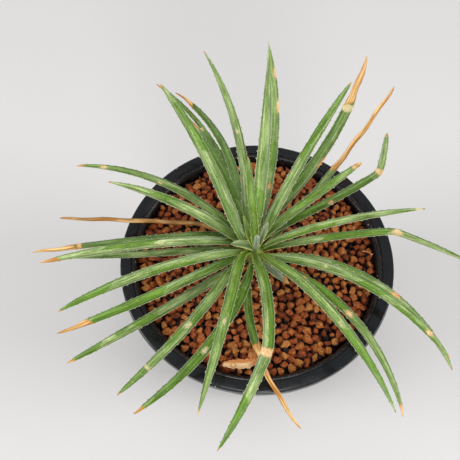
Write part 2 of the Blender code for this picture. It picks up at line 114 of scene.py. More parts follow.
def closed_tube(grid):
    """Points and faces of a closed surface from a grid of (rings, points round, values).

    Each ring joins itself, and each end closes in a fan on the mean of its ring. The first three
    values are the place, and the others are fields that the poles take the mean of too. Faces
    point outwards where a ring turns anticlockwise seen from the rings after it.
    """
    rings, around = grid.shape[:2]
    ring = np.arange(rings - 1)[:, None] * around
    here = np.arange(around)[None]
    after = (here + 1) % around
    quads = np.stack([ring + here, ring + after, ring + around + after, ring + around + here], -1)
    first = rings * around
    low = np.stack([np.full(around, first), after[0], here[0]], -1)
    last = (rings - 1) * around
    high = np.stack([np.full(around, first + 1), last + here[0], last + after[0]], -1)
    poles = np.stack([grid[0].mean(0), grid[-1].mean(0)])
    points = np.concatenate([grid.reshape(-1, grid.shape[2]), poles])
    return points, quads.reshape(-1, 4).tolist() + low.tolist() + high.tolist()


def ring_angles(count):
    """Even angles round a ring, as one row."""
    return (np.arange(count) * math.tau / count)[None]


def level_rings(reach, angle, height, x=0, y=0):
    """Grid of level rings: x + reach cos a, y + reach sin a and the height."""
    return np.stack(np.broadcast_arrays(x + reach * np.cos(angle), y + reach * np.sin(angle), height), -1)


def turned(outline, turns):
    """Surface of revolution: each (radius, height) of the outline is carried round Z."""
    return closed_tube(level_rings(outline[:, :1], ring_angles(turns), outline[:, 1:]))


def linear(colour):
    """sRGB hex colour in linear light: c / 12.92 up to 0.04045, else ((c + 0.055) / 1.055)^2.4."""
    c = np.array([int(colour[place:place + 2], 16) for place in (1, 3, 5)]) / 255
    c = np.where(c <= 0.04045, c / 12.92, ((c + 0.055) / 1.055) ** 2.4)
    return (*c.tolist(), 1.0)


def add_node(material, kind, values=None, **settings):
    """Add a shader node and return its outputs; a value is a constant or another node's output."""
    node = material.node_tree.nodes.new("ShaderNode" + kind)
    for setting, choice in settings.items():
        setattr(node, setting, choice)
    for socket, value in (values or {}).items():
        if isinstance(value, bpy.types.NodeSocket):
            material.node_tree.links.new(value, node.inputs[socket])
        else:
            node.inputs[socket].default_value = value
    return node.outputs


def new_material(name):
    material = bpy.data.materials.new(name)
    material.use_nodes = True
    material.node_tree.nodes.clear()
    return material


def finish_surface(material, values):
    """The Principled shader with its values, joined to the material's output."""
    shader = add_node(material, "BsdfPrincipled", values)
    add_node(material, "OutputMaterial", {"Surface": shader[0]})


def make_piece(name, points, faces, material, slot, nodes, **fields):
    """A smooth mesh that rides on the one body, and stands for the CAD nodes that are given.

    Points are in millimetres. A field holds one number or one vector for each point, and becomes
    an attribute that the material reads.
    """
    mesh = bpy.data.meshes.new(name)
    mesh.from_pydata((points[:, :3] * MM).tolist(), [], faces)
    mesh.shade_smooth()
    mesh.materials.append(material)
    for field, values in fields.items():
        values = np.asarray(values, np.float32)
        kind, entry = ("FLOAT", "value") if values.ndim == 1 else ("FLOAT_VECTOR", "vector")
        mesh.attributes.new(field, kind, "POINT").data.foreach_set(entry, values.ravel())
    made = bpy.data.objects.new(name, mesh)
    bpy.context.collection.objects.link(made)
    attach(made, "root")
    if nodes:
        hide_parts(*nodes)
    return made


def cut_away(target, shapes):
    """Cut bmesh shapes out of an object's mesh, and keep only the result."""
    group = bpy.data.collections.new("cutters")
    bpy.context.scene.collection.children.link(group)
    for shape in shapes:
        mesh = bpy.data.meshes.new("cutter")
        shape.to_mesh(mesh)
        shape.free()
        group.objects.link(bpy.data.objects.new("cutter", mesh))
    cut = target.modifiers.new("cut", "BOOLEAN")
    cut.operation = "DIFFERENCE"
    cut.operand_type = "COLLECTION"
    cut.collection = group
    bpy.context.view_layer.update()
    result = bpy.data.meshes.new_from_object(target.evaluated_get(bpy.context.evaluated_depsgraph_get()))
    target.modifiers.remove(cut)
    target.data = result
    for cutter in list(group.objects):
        bpy.data.objects.remove(cutter, do_unlink=True)
    bpy.data.collections.remove(group)


def wall_radius(height):
    """Inner radius of the pot's straight wall at a height."""
    neck = NECK_RADIUS - WALL
    foot = FOOT_RADIUS - WALL
    return foot + (neck - foot) * height / (POT_HEIGHT - LIP_THICKNESS)


# Moulded polypropylene: a glossy, faintly blue black with fine rings from the mould, dry clay dust
# on the step inside the lip and a few white specks of lime. Here and below, a pattern's scale is
# its count in a millimetre over MM: 1.4 mould rings, 0.9 grains of grit, a cloud of dust in 11 mm
plastic = new_material("moulded_black_polypropylene")
place = add_node(plastic, "TexCoord")["Object"]
x, y, z = add_node(plastic, "SeparateXYZ", {0: place})
radius = add_node(plastic, "VectorMath", {0: add_node(plastic, "CombineXYZ", {0: x, 1: y})[0]},
                  operation="LENGTH")["Value"]
around = add_node(plastic, "Math", {0: y, 1: x}, operation="ARCTAN2")[0]
drift = add_node(plastic, "Math", {0: around, 1: 4 * MM}, operation="MULTIPLY")[0]
ring_place = add_node(plastic, "CombineXYZ", {0: radius, 1: z, 2: drift})[0]
rings, cloud, grit = (
    add_node(plastic, "TexNoise", {"Vector": where, "Scale": count / MM, "Detail": detail,
                                   "Roughness": roughness})["Fac"]
    for where, count, detail, roughness in (
        (ring_place, 1.4, 3, 0.5), (place, 0.09, 5, 0.65), (place, 0.9, 4, 0.7)))
specks = add_node(plastic, "TexVoronoi", {"Vector": place, "Scale": 0.24 / MM})["Distance"]
scuff, inside, high = (
    add_node(plastic, "MapRange", {0: source, 1: first, 2: last}, interpolation_type="SMOOTHSTEP")[0]
    for source, first, last in (
        (cloud, 0.42, 0.72), (radius, 59.6 * MM, 59.0 * MM), (z, 98.5 * MM, 99.0 * MM)))
grey, gritty, speck, limy = (
    add_node(plastic, "MapRange", {0: source, 1: first, 2: last})[0]
    for source, first, last in (
        (rings, 0.3, 0.75), (grit, 0.5, 0.7), (specks, 0.085, 0.06), (cloud, 0.52, 0.56)))
step_dust, thin_dust, speck_share = (
    add_node(plastic, "Math", {0: add_node(plastic, "Math", {0: one, 1: two}, operation="MULTIPLY")[0],
                               1: three}, operation="MULTIPLY")[0]
    for one, two, three in ((inside, high, gritty), (scuff, gritty, 0.1), (speck, limy, 1.0)))
dust = add_node(plastic, "Math", {0: step_dust, 1: thin_dust}, operation="MAXIMUM")[0]
plastic_colour = linear(PLASTIC_BLACK)
for share, colour in ((grey, PLASTIC_GREY), (dust, CLAY_DUST), (speck_share, WHITE_DUST)):
    plastic_colour = add_node(plastic, "Mix", {0: share, 6: plastic_colour, 7: linear(colour)},
                              data_type="RGBA")[2]
dulled = add_node(plastic, "Math", {0: dust, 1: scuff}, operation="MAXIMUM")[0]
plastic_roughness = add_node(plastic, "MapRange", {0: dulled, 3: 0.15, 4: 0.38})[0]
plastic_height = add_node(plastic, "Math", {0: rings, 1: grit}, operation="ADD")[0]
plastic_relief = add_node(plastic, "Bump", {"Height": plastic_height, "Strength": 0.2,
                                            "Distance": 0.04 * MM})[0]
finish_surface(plastic, {"Base Color": plastic_colour, "Roughness": plastic_roughness,
                         "Normal": plastic_relief, "IOR": 1.49})

lip_inner = LIP_RADIUS - LIP_FACE
under_lip = POT_HEIGHT - LIP_THICKNESS
skirt_foot = POT_HEIGHT - LIP_SKIRT
pot_outline = eased([
    (FOOT_PAD_RADIUS / 2, 0, 0),
    (FOOT_PAD_RADIUS, 0, 0.3),
    (FOOT_PAD_RADIUS, FOOT_RISE, 0.4),
    (FOOT_RADIUS - FOOT_RING, FOOT_RISE, 0.4),
    (FOOT_RADIUS - FOOT_RING, 0, 0.3),
    (FOOT_RADIUS, 0, 0.8),
    (NECK_RADIUS, under_lip, 0.7),
    (LIP_RADIUS - LIP_THICKNESS, under_lip, 0.4),
    (LIP_RADIUS - LIP_THICKNESS, skirt_foot, 0.25),
    (LIP_RADIUS, skirt_foot, 0.35),
    (LIP_RADIUS, POT_HEIGHT, 1.1),
    (lip_inner, POT_HEIGHT, 0.2),
    (lip_inner - CREASE_START, POT_HEIGHT - CREASE_DROP, 0.2),
    (lip_inner - CREASE_END, POT_HEIGHT - SHOULDER_DROP, 0.15),
    (SHOULDER_RADIUS, POT_HEIGHT - SHOULDER_DROP, 0.5),
    (wall_radius(WALL_TOP), WALL_TOP, 0.8),
    (wall_radius(POT_FLOOR), POT_FLOOR, 1.2),
    (DRAIN_RADIUS, POT_FLOOR, 0),
])
pot_points, pot_faces = turned(pot_outline, POT_TURNS)
pot = make_piece("nursery_pot", pot_points, pot_faces, plastic, "pot", ["pot"])
cutters = []
for hole in range(DRAIN_HOLES):
    turn = Matrix.Rotation(math.tau * (hole + 0.5) / DRAIN_HOLES, 4, "Z")
    drill = bmesh.new()
    bmesh.ops.create_cone(drill, cap_ends=True, segments=40, radius1=DRAIN_RADIUS * MM,
                          radius2=DRAIN_RADIUS * MM, depth=3 * POT_FLOOR * MM,
                          matrix=turn @ Matrix.Translation((DRAIN_CIRCLE * MM, 0, 0)))
    cutters.append(drill)
for notch in range(FOOT_NOTCHES):
    turn = Matrix.Rotation(math.tau * notch / FOOT_NOTCHES, 4, "Z")
    middle = Matrix.Translation(((FOOT_RADIUS - FOOT_RING / 2) * MM, 0, 0))
    size = Matrix.Diagonal((2 * FOOT_RING * MM, FOOT_NOTCH_WIDTH * MM, 2 * FOOT_NOTCH_HEIGHT * MM, 1))
    block = bmesh.new()
    bmesh.ops.create_cube(block, size=1, matrix=turn @ middle @ size)
    cutters.append(block)
cut_away(pot, cutters)
pot.data.shade_smooth()
pot.data.set_sharp_from_angle(angle=math.radians(SHARP_PLASTIC_ANGLE))


# Potting mix. Screened peat and bark that fills the pot below the granules; only a little of it
# shows, through the drain holes. The CAD solid keeps its shape and takes a crumbly, matt finish.
PEAT_DARK = "#1c130c"
PEAT_LIGHT = "#4a3524"
peat = new_material("peat_and_bark_mix")
place = add_node(peat, "TexCoord")["Object"]
crumbs = add_node(peat, "TexVoronoi", {"Vector": place, "Scale": 0.45 / MM})["Distance"]
fibres = add_node(peat, "TexNoise", {"Vector": place, "Scale": 0.7 / MM, "Detail": 6,
                                     "Roughness": 0.7})["Fac"]
crumb_height = add_node(peat, "Math", {0: fibres, 1: crumbs}, operation="SUBTRACT")[0]
peat_colour = add_node(peat, "Mix", {0: fibres, 6: linear(PEAT_DARK), 7: linear(PEAT_LIGHT)},
                       data_type="RGBA")[2]
peat_relief = add_node(peat, "Bump", {"Height": crumb_height, "Strength": 0.9, "Distance": 0.8 * MM})[0]
finish_surface(peat, {"Base Color": peat_colour, "Roughness": 0.95, "Normal": peat_relief})
frame["nodes"]["potting_mix"].data.materials.clear()
frame["nodes"]["potting_mix"].data.materials.append(peat)


# Granules. Fired-clay granules of 3 to 5 mm, poured over the mix and levelled by hand: broken lumps
# in two layers on a bed, the upper ones where the CAD relief has its tops; painted shade darkens the
# lower layer and turns the bed near black. A lump is a ball of 54 faces, or 24 in the lower layer,
# stretched, turned and broken flat by planes at random.
SOIL_EDGE_HEIGHT = 95.6
SOIL_CROWN = 1.0
BED_FOOT = 90.35
GRANULES = 730
GRANULE_SIZES = (3.0, 4.8)
GRANULE_RISES = (0.95, 1.4)
GRANULE_SCATTER = 0.6
GRANULE_PACKING = 0.92
PACKING_ROUNDS = 80
PACKING_PUSH = 0.3
PACKING_EDGE = 56.4
LOW_GRANULES = 1000
LOW_SIZES = (2.0, 3.6)
LOW_RISES = (-0.8, 0.7)
LOW_PACKING_ROUNDS = 12
LUMP_STRETCH = ((1.12, 0.98, 0.85), (1.7, 1.4, 1.15))
BROKEN_FLATS = 11
FLAT_DEPTHS = (0.26, 0.5)
KNOBS = (0.82, 1.12)
PALEST_TONE = 1.3
# Painted shade: a lump's tone starts to fall at this share of its size below its top, and falls by the next
# number for each whole size deeper.
PAINTED_SHADE_START = 0.12
PAINTED_SHADE_FALL = 1.5
# Painted shade: the lower layer's tones are lowered by this, and the bed is given the next tone, so the gaps
# read dark.
LOW_LAYER_PAINTED_SHADE = 1.1
BED_PAINTED_SHADE = -1.8
SHARP_CLAY_ANGLE = 30
STEM_PLACE = np.array([-1.5, 2.9])
STEM_ROOT_RADIUS = 4.8
CLAY_PAINTED_SHADE = "#170903"
CLAY_DARK = "#5a2206"
CLAY_MIDDLE = "#bb5612"
CLAY_LIGHT = "#e8a04e"
GOLDEN_ANGLE = math.pi * (3 - math.sqrt(5))


def soil_height(radius):
    """Height of the bed: highest in the middle, and falling as the square of the radius."""
    return SOIL_EDGE_HEIGHT + SOIL_CROWN * (1 - (radius / wall_radius(SOIL_EDGE_HEIGHT)) ** 2)


def granule_places(draw, sizes, rounds):
    """Where granules of these sizes lie in the ground plane.

    They start on a sunflower spiral, radius sqrt(n) and angle n times the golden angle, with a
    little scatter. In each round, two that overlap move apart along the line between them, and
    then each moves back off the stem and inside the pot's wall.
    """
    number = np.arange(len(sizes))
    radius = PACKING_EDGE * np.sqrt((number + 0.5) / len(sizes))
    angle = number * GOLDEN_ANGLE
    places = np.stack([radius * np.cos(angle), radius * np.sin(angle)], -1)
    places += draw.normal(0, GRANULE_SCATTER, places.shape)
    reach = GRANULE_PACKING * (sizes[:, None] + sizes) / 2
    for _ in range(rounds):
        apart = places[:, None] - places
        distance = np.linalg.norm(apart, axis=-1)
        np.fill_diagonal(distance, np.inf)
        overlap = np.clip(reach / distance - 1, 0, 1)
        places += PACKING_PUSH * (apart * overlap[..., None]).sum(1)
        from_stem = places - STEM_PLACE
        clear = (STEM_ROOT_RADIUS + sizes / 2) / np.linalg.norm(from_stem, axis=1)
        places = STEM_PLACE + from_stem * np.maximum(1, clear)[:, None]
        inside = (PACKING_EDGE - sizes / 2) / np.linalg.norm(places, axis=1)
        places *= np.minimum(1, inside)[:, None]
    return places


def lump_shape(cuts):
    """A ball from a cube's surface: points p / |p|, mixed with a little of the cube."""
    shape = bmesh.new()
    bmesh.ops.create_cube(shape, size=2)
    bmesh.ops.subdivide_edges(shape, edges=shape.edges, cuts=cuts, use_grid_fill=True)
    cube = np.array([point.co for point in shape.verts])
    faces = np.array([[point.index for point in face.verts] for face in shape.faces])
    shape.free()
    ball = cube / np.linalg.norm(cube, axis=1, keepdims=True)
    return 0.9 * ball + 0.1 * cube, faces


def unit_vectors(draw, shape):
    """Directions spread evenly over a sphere: three normal numbers over their length."""
    made = draw.normal(0, 1, (*shape, 3))
    return made / np.linalg.norm(made, axis=-1, keepdims=True)


def lumps(draw, places, sizes, rises, cuts):
    """Points, faces and tones of granules at the places, each with its top at its rise.

    A lump is turn (stretch * ball), then pushed in to p - max(0, p.n - d) n by each of its flats,
    and then every point moves in or out a little. Its tone falls by 1.5 times the depth below its
    top, as a share of its size: painted shade on its sides and in the gaps between granules.
    """
    ball, faces = lump_shape(cuts)
    count = len(places)
    stretch = draw.uniform(*LUMP_STRETCH, (count, 3))
    shapes = ball[None] * stretch[:, None] * sizes[:, None, None] / 2
    first = unit_vectors(draw, (count,)) * (1, 1, 0.35)
    first /= np.linalg.norm(first, axis=1, keepdims=True)
    second = np.cross(first, unit_vectors(draw, (count,)) * 0.3 + (0, 0, 1))
    second /= np.linalg.norm(second, axis=1, keepdims=True)
    shapes = shapes @ np.stack([first, second, np.cross(first, second)], 1)
    for _ in range(BROKEN_FLATS):
        flat = unit_vectors(draw, (count,))
        depth = sizes * draw.uniform(*FLAT_DEPTHS, count)
        over = np.clip((shapes * flat[:, None]).sum(-1) - depth[:, None], 0, None)
        shapes -= over[..., None] * flat[:, None]
    shapes *= draw.uniform(*KNOBS, (count, len(ball), 1))
    height = soil_height(np.linalg.norm(places, axis=1)) + rises - shapes[..., 2].max(1)
    shapes += np.concatenate([places, height[:, None]], 1)[:, None]
    faces = faces[None] + len(ball) * np.arange(count)[:, None, None]
    depth = (shapes[..., 2].max(1)[:, None] - shapes[..., 2]) / sizes[:, None]
    # Painted shade: the tone falls with the depth below the lump's top, darkening its sides and the gaps.
    tone = draw.uniform(0, PALEST_TONE, count)[:, None] - PAINTED_SHADE_FALL * np.clip(depth - PAINTED_SHADE_START, 0, 1)
    return shapes.reshape(-1, 3), faces.reshape(-1, 4), tone.ravel()


draw = np.random.default_rng(11)
top_sizes = draw.uniform(*GRANULE_SIZES, GRANULES)
top_rises = draw.uniform(*GRANULE_RISES, GRANULES)
top_places = granule_places(draw, top_sizes, PACKING_ROUNDS)
top_points, top_faces, top_tone_and_shade = lumps(draw, top_places, top_sizes, top_rises, 2)
low_sizes = draw.uniform(*LOW_SIZES, LOW_GRANULES)
low_rises = draw.uniform(*LOW_RISES, LOW_GRANULES)
low_places = granule_places(draw, low_sizes, LOW_PACKING_ROUNDS)
low_points, low_faces, low_tone_and_shade = lumps(draw, low_places, low_sizes, low_rises, 1)
bed_outline = eased([(5, BED_FOOT, 0), (wall_radius(BED_FOOT) - 0.4, BED_FOOT, 0.2),
                     (wall_radius(SOIL_EDGE_HEIGHT) - 2, SOIL_EDGE_HEIGHT - 2.2, 0.5),
                     (5, SOIL_EDGE_HEIGHT - 1.2, 0)])
bed_points, bed_faces = turned(bed_outline, 96)
granule_points = np.concatenate([top_points, low_points, bed_points])
granule_faces = (top_faces.tolist() + (low_faces + len(top_points)).tolist()
                 + [[corner + len(top_points) + len(low_points) for corner in face] for face in bed_faces])
# Painted shade: the lower layer is darker and the bed darkest.
granule_tone_and_shade = np.concatenate([top_tone_and_shade, low_tone_and_shade - LOW_LAYER_PAINTED_SHADE, np.full(len(bed_points), BED_PAINTED_SHADE)])

# Low-fired clay, a little damp: porous and red-brown, paler or darker at random from lump to lump.
# Painted shade darkens each lump's sides below its top and turns the lower layer and the bed near
# black. Its mottling is 0.9 and its pits are 3.2 in a millimetre
clay = new_material("fired_clay_granules")
place = add_node(clay, "TexCoord")["Object"]
tone = add_node(clay, "Attribute", attribute_name="clay_tone")["Fac"]
mottle, pits = (
    add_node(clay, "TexNoise", {"Vector": place, "Scale": count / MM, "Detail": detail,
                                "Roughness": roughness})["Fac"]
    for count, detail, roughness in ((0.9, 5, 0.75), (3.2, 3, 0.6)))
mottling = add_node(clay, "MapRange", {0: mottle, 1: 0.33, 2: 0.67, 3: -0.8, 4: 0.8})[0]
mottled_tone_and_shade = add_node(clay, "Math", {0: tone, 1: mottling}, operation="ADD")[0]
clay_colour = linear(CLAY_DARK)
# The last colour is painted shade: where the tone falls below 0, the clay turns towards near black.
for source, first, last, colour in ((mottled_tone_and_shade, -0.6, 0.5, CLAY_MIDDLE),
                                    (mottled_tone_and_shade, 0.5, 1.6, CLAY_LIGHT), (tone, 0.0, -0.9, CLAY_PAINTED_SHADE)):
    share = add_node(clay, "MapRange", {0: source, 1: first, 2: last})[0]
    clay_colour = add_node(clay, "Mix", {0: share, 6: clay_colour, 7: linear(colour)},
                           data_type="RGBA")[2]
clay_height = add_node(clay, "Math", {0: mottle, 1: pits}, operation="ADD")[0]
clay_relief = add_node(clay, "Bump", {"Height": clay_height, "Strength": 1.0, "Distance": 1.1 * MM})[0]
finish_surface(clay, {"Base Color": clay_colour, "Roughness": 0.6, "Normal": clay_relief})
granules = make_piece("clay_granules", granule_points, granule_faces, clay, "granules",
                      ["top_dressing"], clay_tone=granule_tone_and_shade)
granules.data.set_sharp_from_angle(angle=math.radians(SHARP_CLAY_ANGLE))


# Fallen sheath. A dry leaf base that came away and lies loose on the granules at the near side:
# papery and cream, with a ring scar and a rib. Its torn end runs out in a fan of fibres, and a bit
# of the same straw lies further east. It is a strip on a bent line, with its margins curled up.
SHEATH_START = (-16.0, -51.6, 97.15)
SHEATH_LENGTH = 18
SHEATH_WIDTH = 5
SHEATH_THICKNESS = 0.7
SHEATH_TURN = 70
SHEATH_CURL = 0.8
SHEATH_STEPS = 72
SHEATH_COLUMNS = 24
SCAR_PLACE = (-0.4, 4.6, 0.0)
SCAR_RADIUS = 1.05
SHEATH_CREAM = "#e8c898"
SHEATH_ORANGE = "#e08c3c"
SHEATH_BROWN = "#8e4a18"
FIBRES = 46
FIBRE_STEPS = 14
FIBRE_SIDES = 6
FIBRE_SWAY = 25
FIBRE_PLACE = 16


def sheath_surface():
    """The strip as a flat tube: across = cos(a) and face = sin(a), for a from 0 to a full turn.

    The line runs east and then turns north as the power 1.5 of its far half. Its half width is
    the root of a blunt arch times 1 + three sines, for the ragged margins, which curl up as the
    square of the place across. A rib runs down the middle, and both ends are torn in waves.
    """
    share = np.linspace(0, 1, SHEATH_STEPS + 1)
    heading = math.radians(SHEATH_TURN) * np.clip((share - 0.45) / 0.55, 0, 1) ** 1.5
    step = SHEATH_LENGTH / SHEATH_STEPS
    x = SHEATH_START[0] + step * np.concatenate([[0], np.cumsum(np.cos(heading[1:]))])
    y = SHEATH_START[1] + step * np.concatenate([[0], np.cumsum(np.sin(heading[1:]))])
    half = SHEATH_WIDTH / 2 * np.sqrt(np.sin(math.pi * (0.03 + 0.85 * share))) * (1 - 0.25 * share)
    ragged = 0.09 * np.sin(31 * share + 1) + 0.07 * np.sin(53 * share) + 0.05 * np.sin(97 * share + 2)
    half = (half * (1 + ragged))[:, None]
    across = np.cos(ring_angles(2 * SHEATH_COLUMNS))
    face = np.sin(ring_angles(2 * SHEATH_COLUMNS))
    down = share[:, None]
    far_end = 0.9 * np.sin(9 * across + 4 * down) * np.clip((down - 0.72) / 0.28, 0, 1)
    near_end = 0.4 * np.sin(7 * across + 1) * np.clip(1 - down / 0.1, 0, 1)
    rib = 0.18 * np.exp(-((across - 0.15) / 0.12) ** 2) * (face > 0)
    waves = 0.11 * np.sin(11 * down + 2 * across) * across ** 2
    z = (SHEATH_START[2] + 0.25 * np.sin(math.pi * down) + SHEATH_CURL * across ** 2
         + SHEATH_THICKNESS * (0.5 + 0.5 * np.sign(face) * np.abs(face) ** 0.7) + rib + waves)
    side = np.stack([-np.sin(heading), np.cos(heading)], -1)[:, None]
    along = np.stack([np.cos(heading), np.sin(heading)], -1)[:, None]
    flat = (np.stack([x, y], -1)[:, None] + side * (half * across)[..., None]
            + along * (far_end + near_end)[..., None])
    strip = np.stack([half * across, np.broadcast_to(down * SHEATH_LENGTH, z.shape)], -1)
    return np.concatenate([flat, z[..., None], strip], -1)


def direction(heading, slope):
    """Unit vectors (cos slope cos heading, cos slope sin heading, sin slope)."""
    return np.stack([np.cos(slope) * np.cos(heading), np.cos(slope) * np.sin(heading), np.sin(slope)], -1)


def level_side(heading):
    """Level unit vectors a quarter turn to the left of a heading."""
    return np.stack([-np.sin(heading), np.cos(heading), np.zeros_like(heading)], -1)


def thread(start, heading, slope, droop, length, radius):
    """A thin tapering tube along a line that turns down evenly by `droop` degrees, and sways.

    The line is the sum of its steps, and the radius goes as (1 - share^3) + 0.15. Its place on
    the strip is beyond the strip's torn end.
    """
    share = np.linspace(0, 1, FIBRE_STEPS + 1)
    rise = np.radians(slope - droop * share)
    turn = np.radians(heading + FIBRE_SWAY * np.sin(3 * share + start[0]))
    along = direction(turn, rise)
    moves = np.cumsum(along[1:], 0) * length / FIBRE_STEPS
    line = np.array(start) + np.concatenate([np.zeros((1, 3)), moves])
    side = level_side(turn)
    up = np.cross(along, side)
    angle = ring_angles(FIBRE_SIDES)[..., None]
    ring = side[:, None] * np.cos(angle) + up[:, None] * np.sin(angle)
    reach = radius * (1 - share ** 3 + 0.15)[:, None, None]
    strip = np.stack([np.full_like(share, start[1] % 2), FIBRE_PLACE + share * length], -1)[:, None]
    return np.concatenate([line[:, None] + ring * reach, np.broadcast_to(strip, (*ring.shape[:2], 2))], -1)


def joined_tubes(grids):
    """Points and faces of several closed surfaces as one mesh."""
    points = []
    faces = []
    for grid in grids:
        made, joined = closed_tube(grid)
        before = sum(len(part) for part in points)
        faces += [[corner + before for corner in face] for face in joined]
        points.append(made)
    return np.concatenate(points), faces


def dry_piece(name, grids, nodes):
    """A piece of dry tissue; each point's last two values are its place on the strip."""
    points, faces = joined_tubes(grids)
    strip_place = np.concatenate([points[:, 3:], np.zeros((len(points), 1))], 1)
    make_piece(name, points, faces, papery, "dry_sheath", nodes, strip_place=strip_place)


# Dry sheath tissue: cream and papery with brown fibres along it, five in a millimetre across, and
# rust-brown where it tore, along its margins and round the scar. Its patterns are in millimetres
papery = new_material("dry_sheath_tissue")
strip = add_node(papery, "Attribute", attribute_name="strip_place")["Vector"]
across, along, _ = add_node(papery, "SeparateXYZ", {0: strip})
fibres, stain = (
    add_node(papery, "TexNoise", {
        "Vector": add_node(papery, "VectorMath", {0: strip, 1: counts}, operation="MULTIPLY")[0],
        "Scale": 1.0, "Detail": 4, "Roughness": roughness})["Fac"]
    for counts, roughness in (((5.0, 0.5, 1.0), 0.5), ((0.6, 0.6, 0.6), 0.6)))
stained_along, stained_across = (
    add_node(papery, "Math", {0: where, 1: stain}, operation="ADD")[0] for where in (along, across))
from_scar = add_node(papery, "VectorMath", {0: strip, 1: SCAR_PLACE}, operation="DISTANCE")["Value"]
off_ring, off_middle = (
    add_node(papery, "Math", {
        0: add_node(papery, "Math", {0: where, 1: middle}, operation="SUBTRACT")[0]},
        operation="ABSOLUTE")[0]
    for where, middle in ((from_scar, SCAR_RADIUS), (across, 0.0)))
browned = 0.0
for source, first, last, brownest in ((stained_along, 11.0, 14.0, 0.85), (off_ring, 0.55, 0.1, 0.7),
                                      (stained_across, 0.6, 1.5, 0.95), (off_middle, 2.0, 2.4, 0.5)):
    share = add_node(papery, "MapRange", {0: source, 1: first, 2: last, 4: brownest})[0]
    browned = add_node(papery, "Math", {0: browned, 1: share}, operation="MAXIMUM")[0]
fibrous = add_node(papery, "Mix", {0: fibres, 6: linear(SHEATH_BROWN), 7: linear(SHEATH_ORANGE)},
                   data_type="RGBA")[2]
cream = add_node(papery, "Mix", {
    0: add_node(papery, "MapRange", {0: fibres, 1: 0.45, 2: 0.7, 4: 0.6})[0],
    6: linear(SHEATH_CREAM), 7: linear(SHEATH_ORANGE)}, data_type="RGBA")[2]
sheath_colour = add_node(papery, "Mix", {0: browned, 6: cream, 7: fibrous}, data_type="RGBA")[2]
sheath_relief = add_node(papery, "Bump", {"Height": fibres, "Strength": 0.7, "Distance": 0.25 * MM})[0]
finish_surface(papery, {"Base Color": sheath_colour, "Roughness": 0.75, "Normal": sheath_relief})

# The least and the most of a fibre's start, heading, slope, droop, length and radius
FIBRE_LEAST = (-4.5, -50.5, 97.9, 10, 0, 5, 2.5, 0.12)
FIBRE_MOST = (1.5, -46.5, 98.5, 110, 14, 25, 5.5, 0.26)
draw = np.random.default_rng(3)
fan = [thread(fibre[:3], *fibre[3:]) for fibre in draw.uniform(FIBRE_LEAST, FIBRE_MOST, (FIBRES, 8))]
dry_piece("shed_leaf_base", [sheath_surface()], ["fallen_sheath"])
dry_piece("torn_fibres", fan, [])
dry_piece("stray_straw", [thread((50.9, 4.1, 98.2), -35, 2, 2, 5.0, 0.3),
                          thread((54.6, 2.2, 98.3), 20, 5, 0, 1.3, 0.45)], [])


# Stem. The short thick stem that carries every leaf, straight in its hole in the mix and then
# leaning south. Its skin is corky, ringed by old leaf scars, so its radius rises and falls.
STEM_FOOT = np.array([-1.5, 2.9, 72.0])
STEM_LOW = np.array([-1.5, 2.5, 99.6])
STEM_HIGH = np.array([-1.0, -1.0, 110.6])
STEM_LOW_RADIUS = 5.6
STEM_HIGH_RADIUS = 1.2
STEM_SIDES = 48
STEM_CLEARANCE = 0.05
OLD_SCAR_PITCH = 2.2
OLD_SCAR_DEPTH = 0.16
FLUTES = 16
FLUTE_DEPTH = 0.08
LEAF_COUNT = 34
HEART_COUNT = 5
CORK_DARK = "#5b4222"
CORK_LIGHT = "#b39a5c"
STEM_GREEN = "#8fa046"


def stem_share(height):
    """How far up the leafy part of the stem a height is, from 0 to 1."""
    return (height - STEM_LOW[2]) / (STEM_HIGH[2] - STEM_LOW[2])


def stem_axis(height):
    return STEM_LOW + (STEM_HIGH - STEM_LOW) * stem_share(height)


def stem_radius(height):
    return STEM_LOW_RADIUS + (STEM_HIGH_RADIUS - STEM_LOW_RADIUS) * stem_share(height)


def seat_height(rank):
    """Height at which a leaf stands on the stem; each leaf is one step above the last."""
    return STEM_LOW[2] + (STEM_HIGH[2] - STEM_LOW[2]) * rank / (LEAF_COUNT + HEART_COUNT - 1)


stem_top = seat_height(LEAF_COUNT - 1) + 0.2


def stem_surface():
    """Level rings whose radius swells with |sin| of the height between old scars, and is fluted."""
    heights = np.concatenate([np.linspace(STEM_FOOT[2], 95, 30), np.linspace(95.4, stem_top, 34)])
    known = np.array([STEM_FOOT[2], STEM_FOOT[2] + 1, 97.9, STEM_LOW[2], stem_top])
    radii = np.array([STEM_ROOT_RADIUS - 1, STEM_ROOT_RADIUS, STEM_ROOT_RADIUS, STEM_LOW_RADIUS,
                      stem_radius(stem_top)])
    centres = np.array([STEM_FOOT, STEM_FOOT, STEM_FOOT, STEM_LOW, stem_axis(stem_top)])
    heights = heights[:, None]
    radius = np.interp(heights, known, radii) - STEM_CLEARANCE
    angle = ring_angles(STEM_SIDES)
    scars = np.abs(np.sin(math.pi * heights / OLD_SCAR_PITCH + 0.6 * np.sin(3 * angle)))
    flutes = 1 + np.sin(FLUTES * angle + 0.4 * heights)
    reach = radius - OLD_SCAR_DEPTH * scars - FLUTE_DEPTH * flutes
    x, y = (np.interp(heights, known, centres[:, axis]) for axis in range(2))
    return level_rings(reach, angle, heights, x, y)


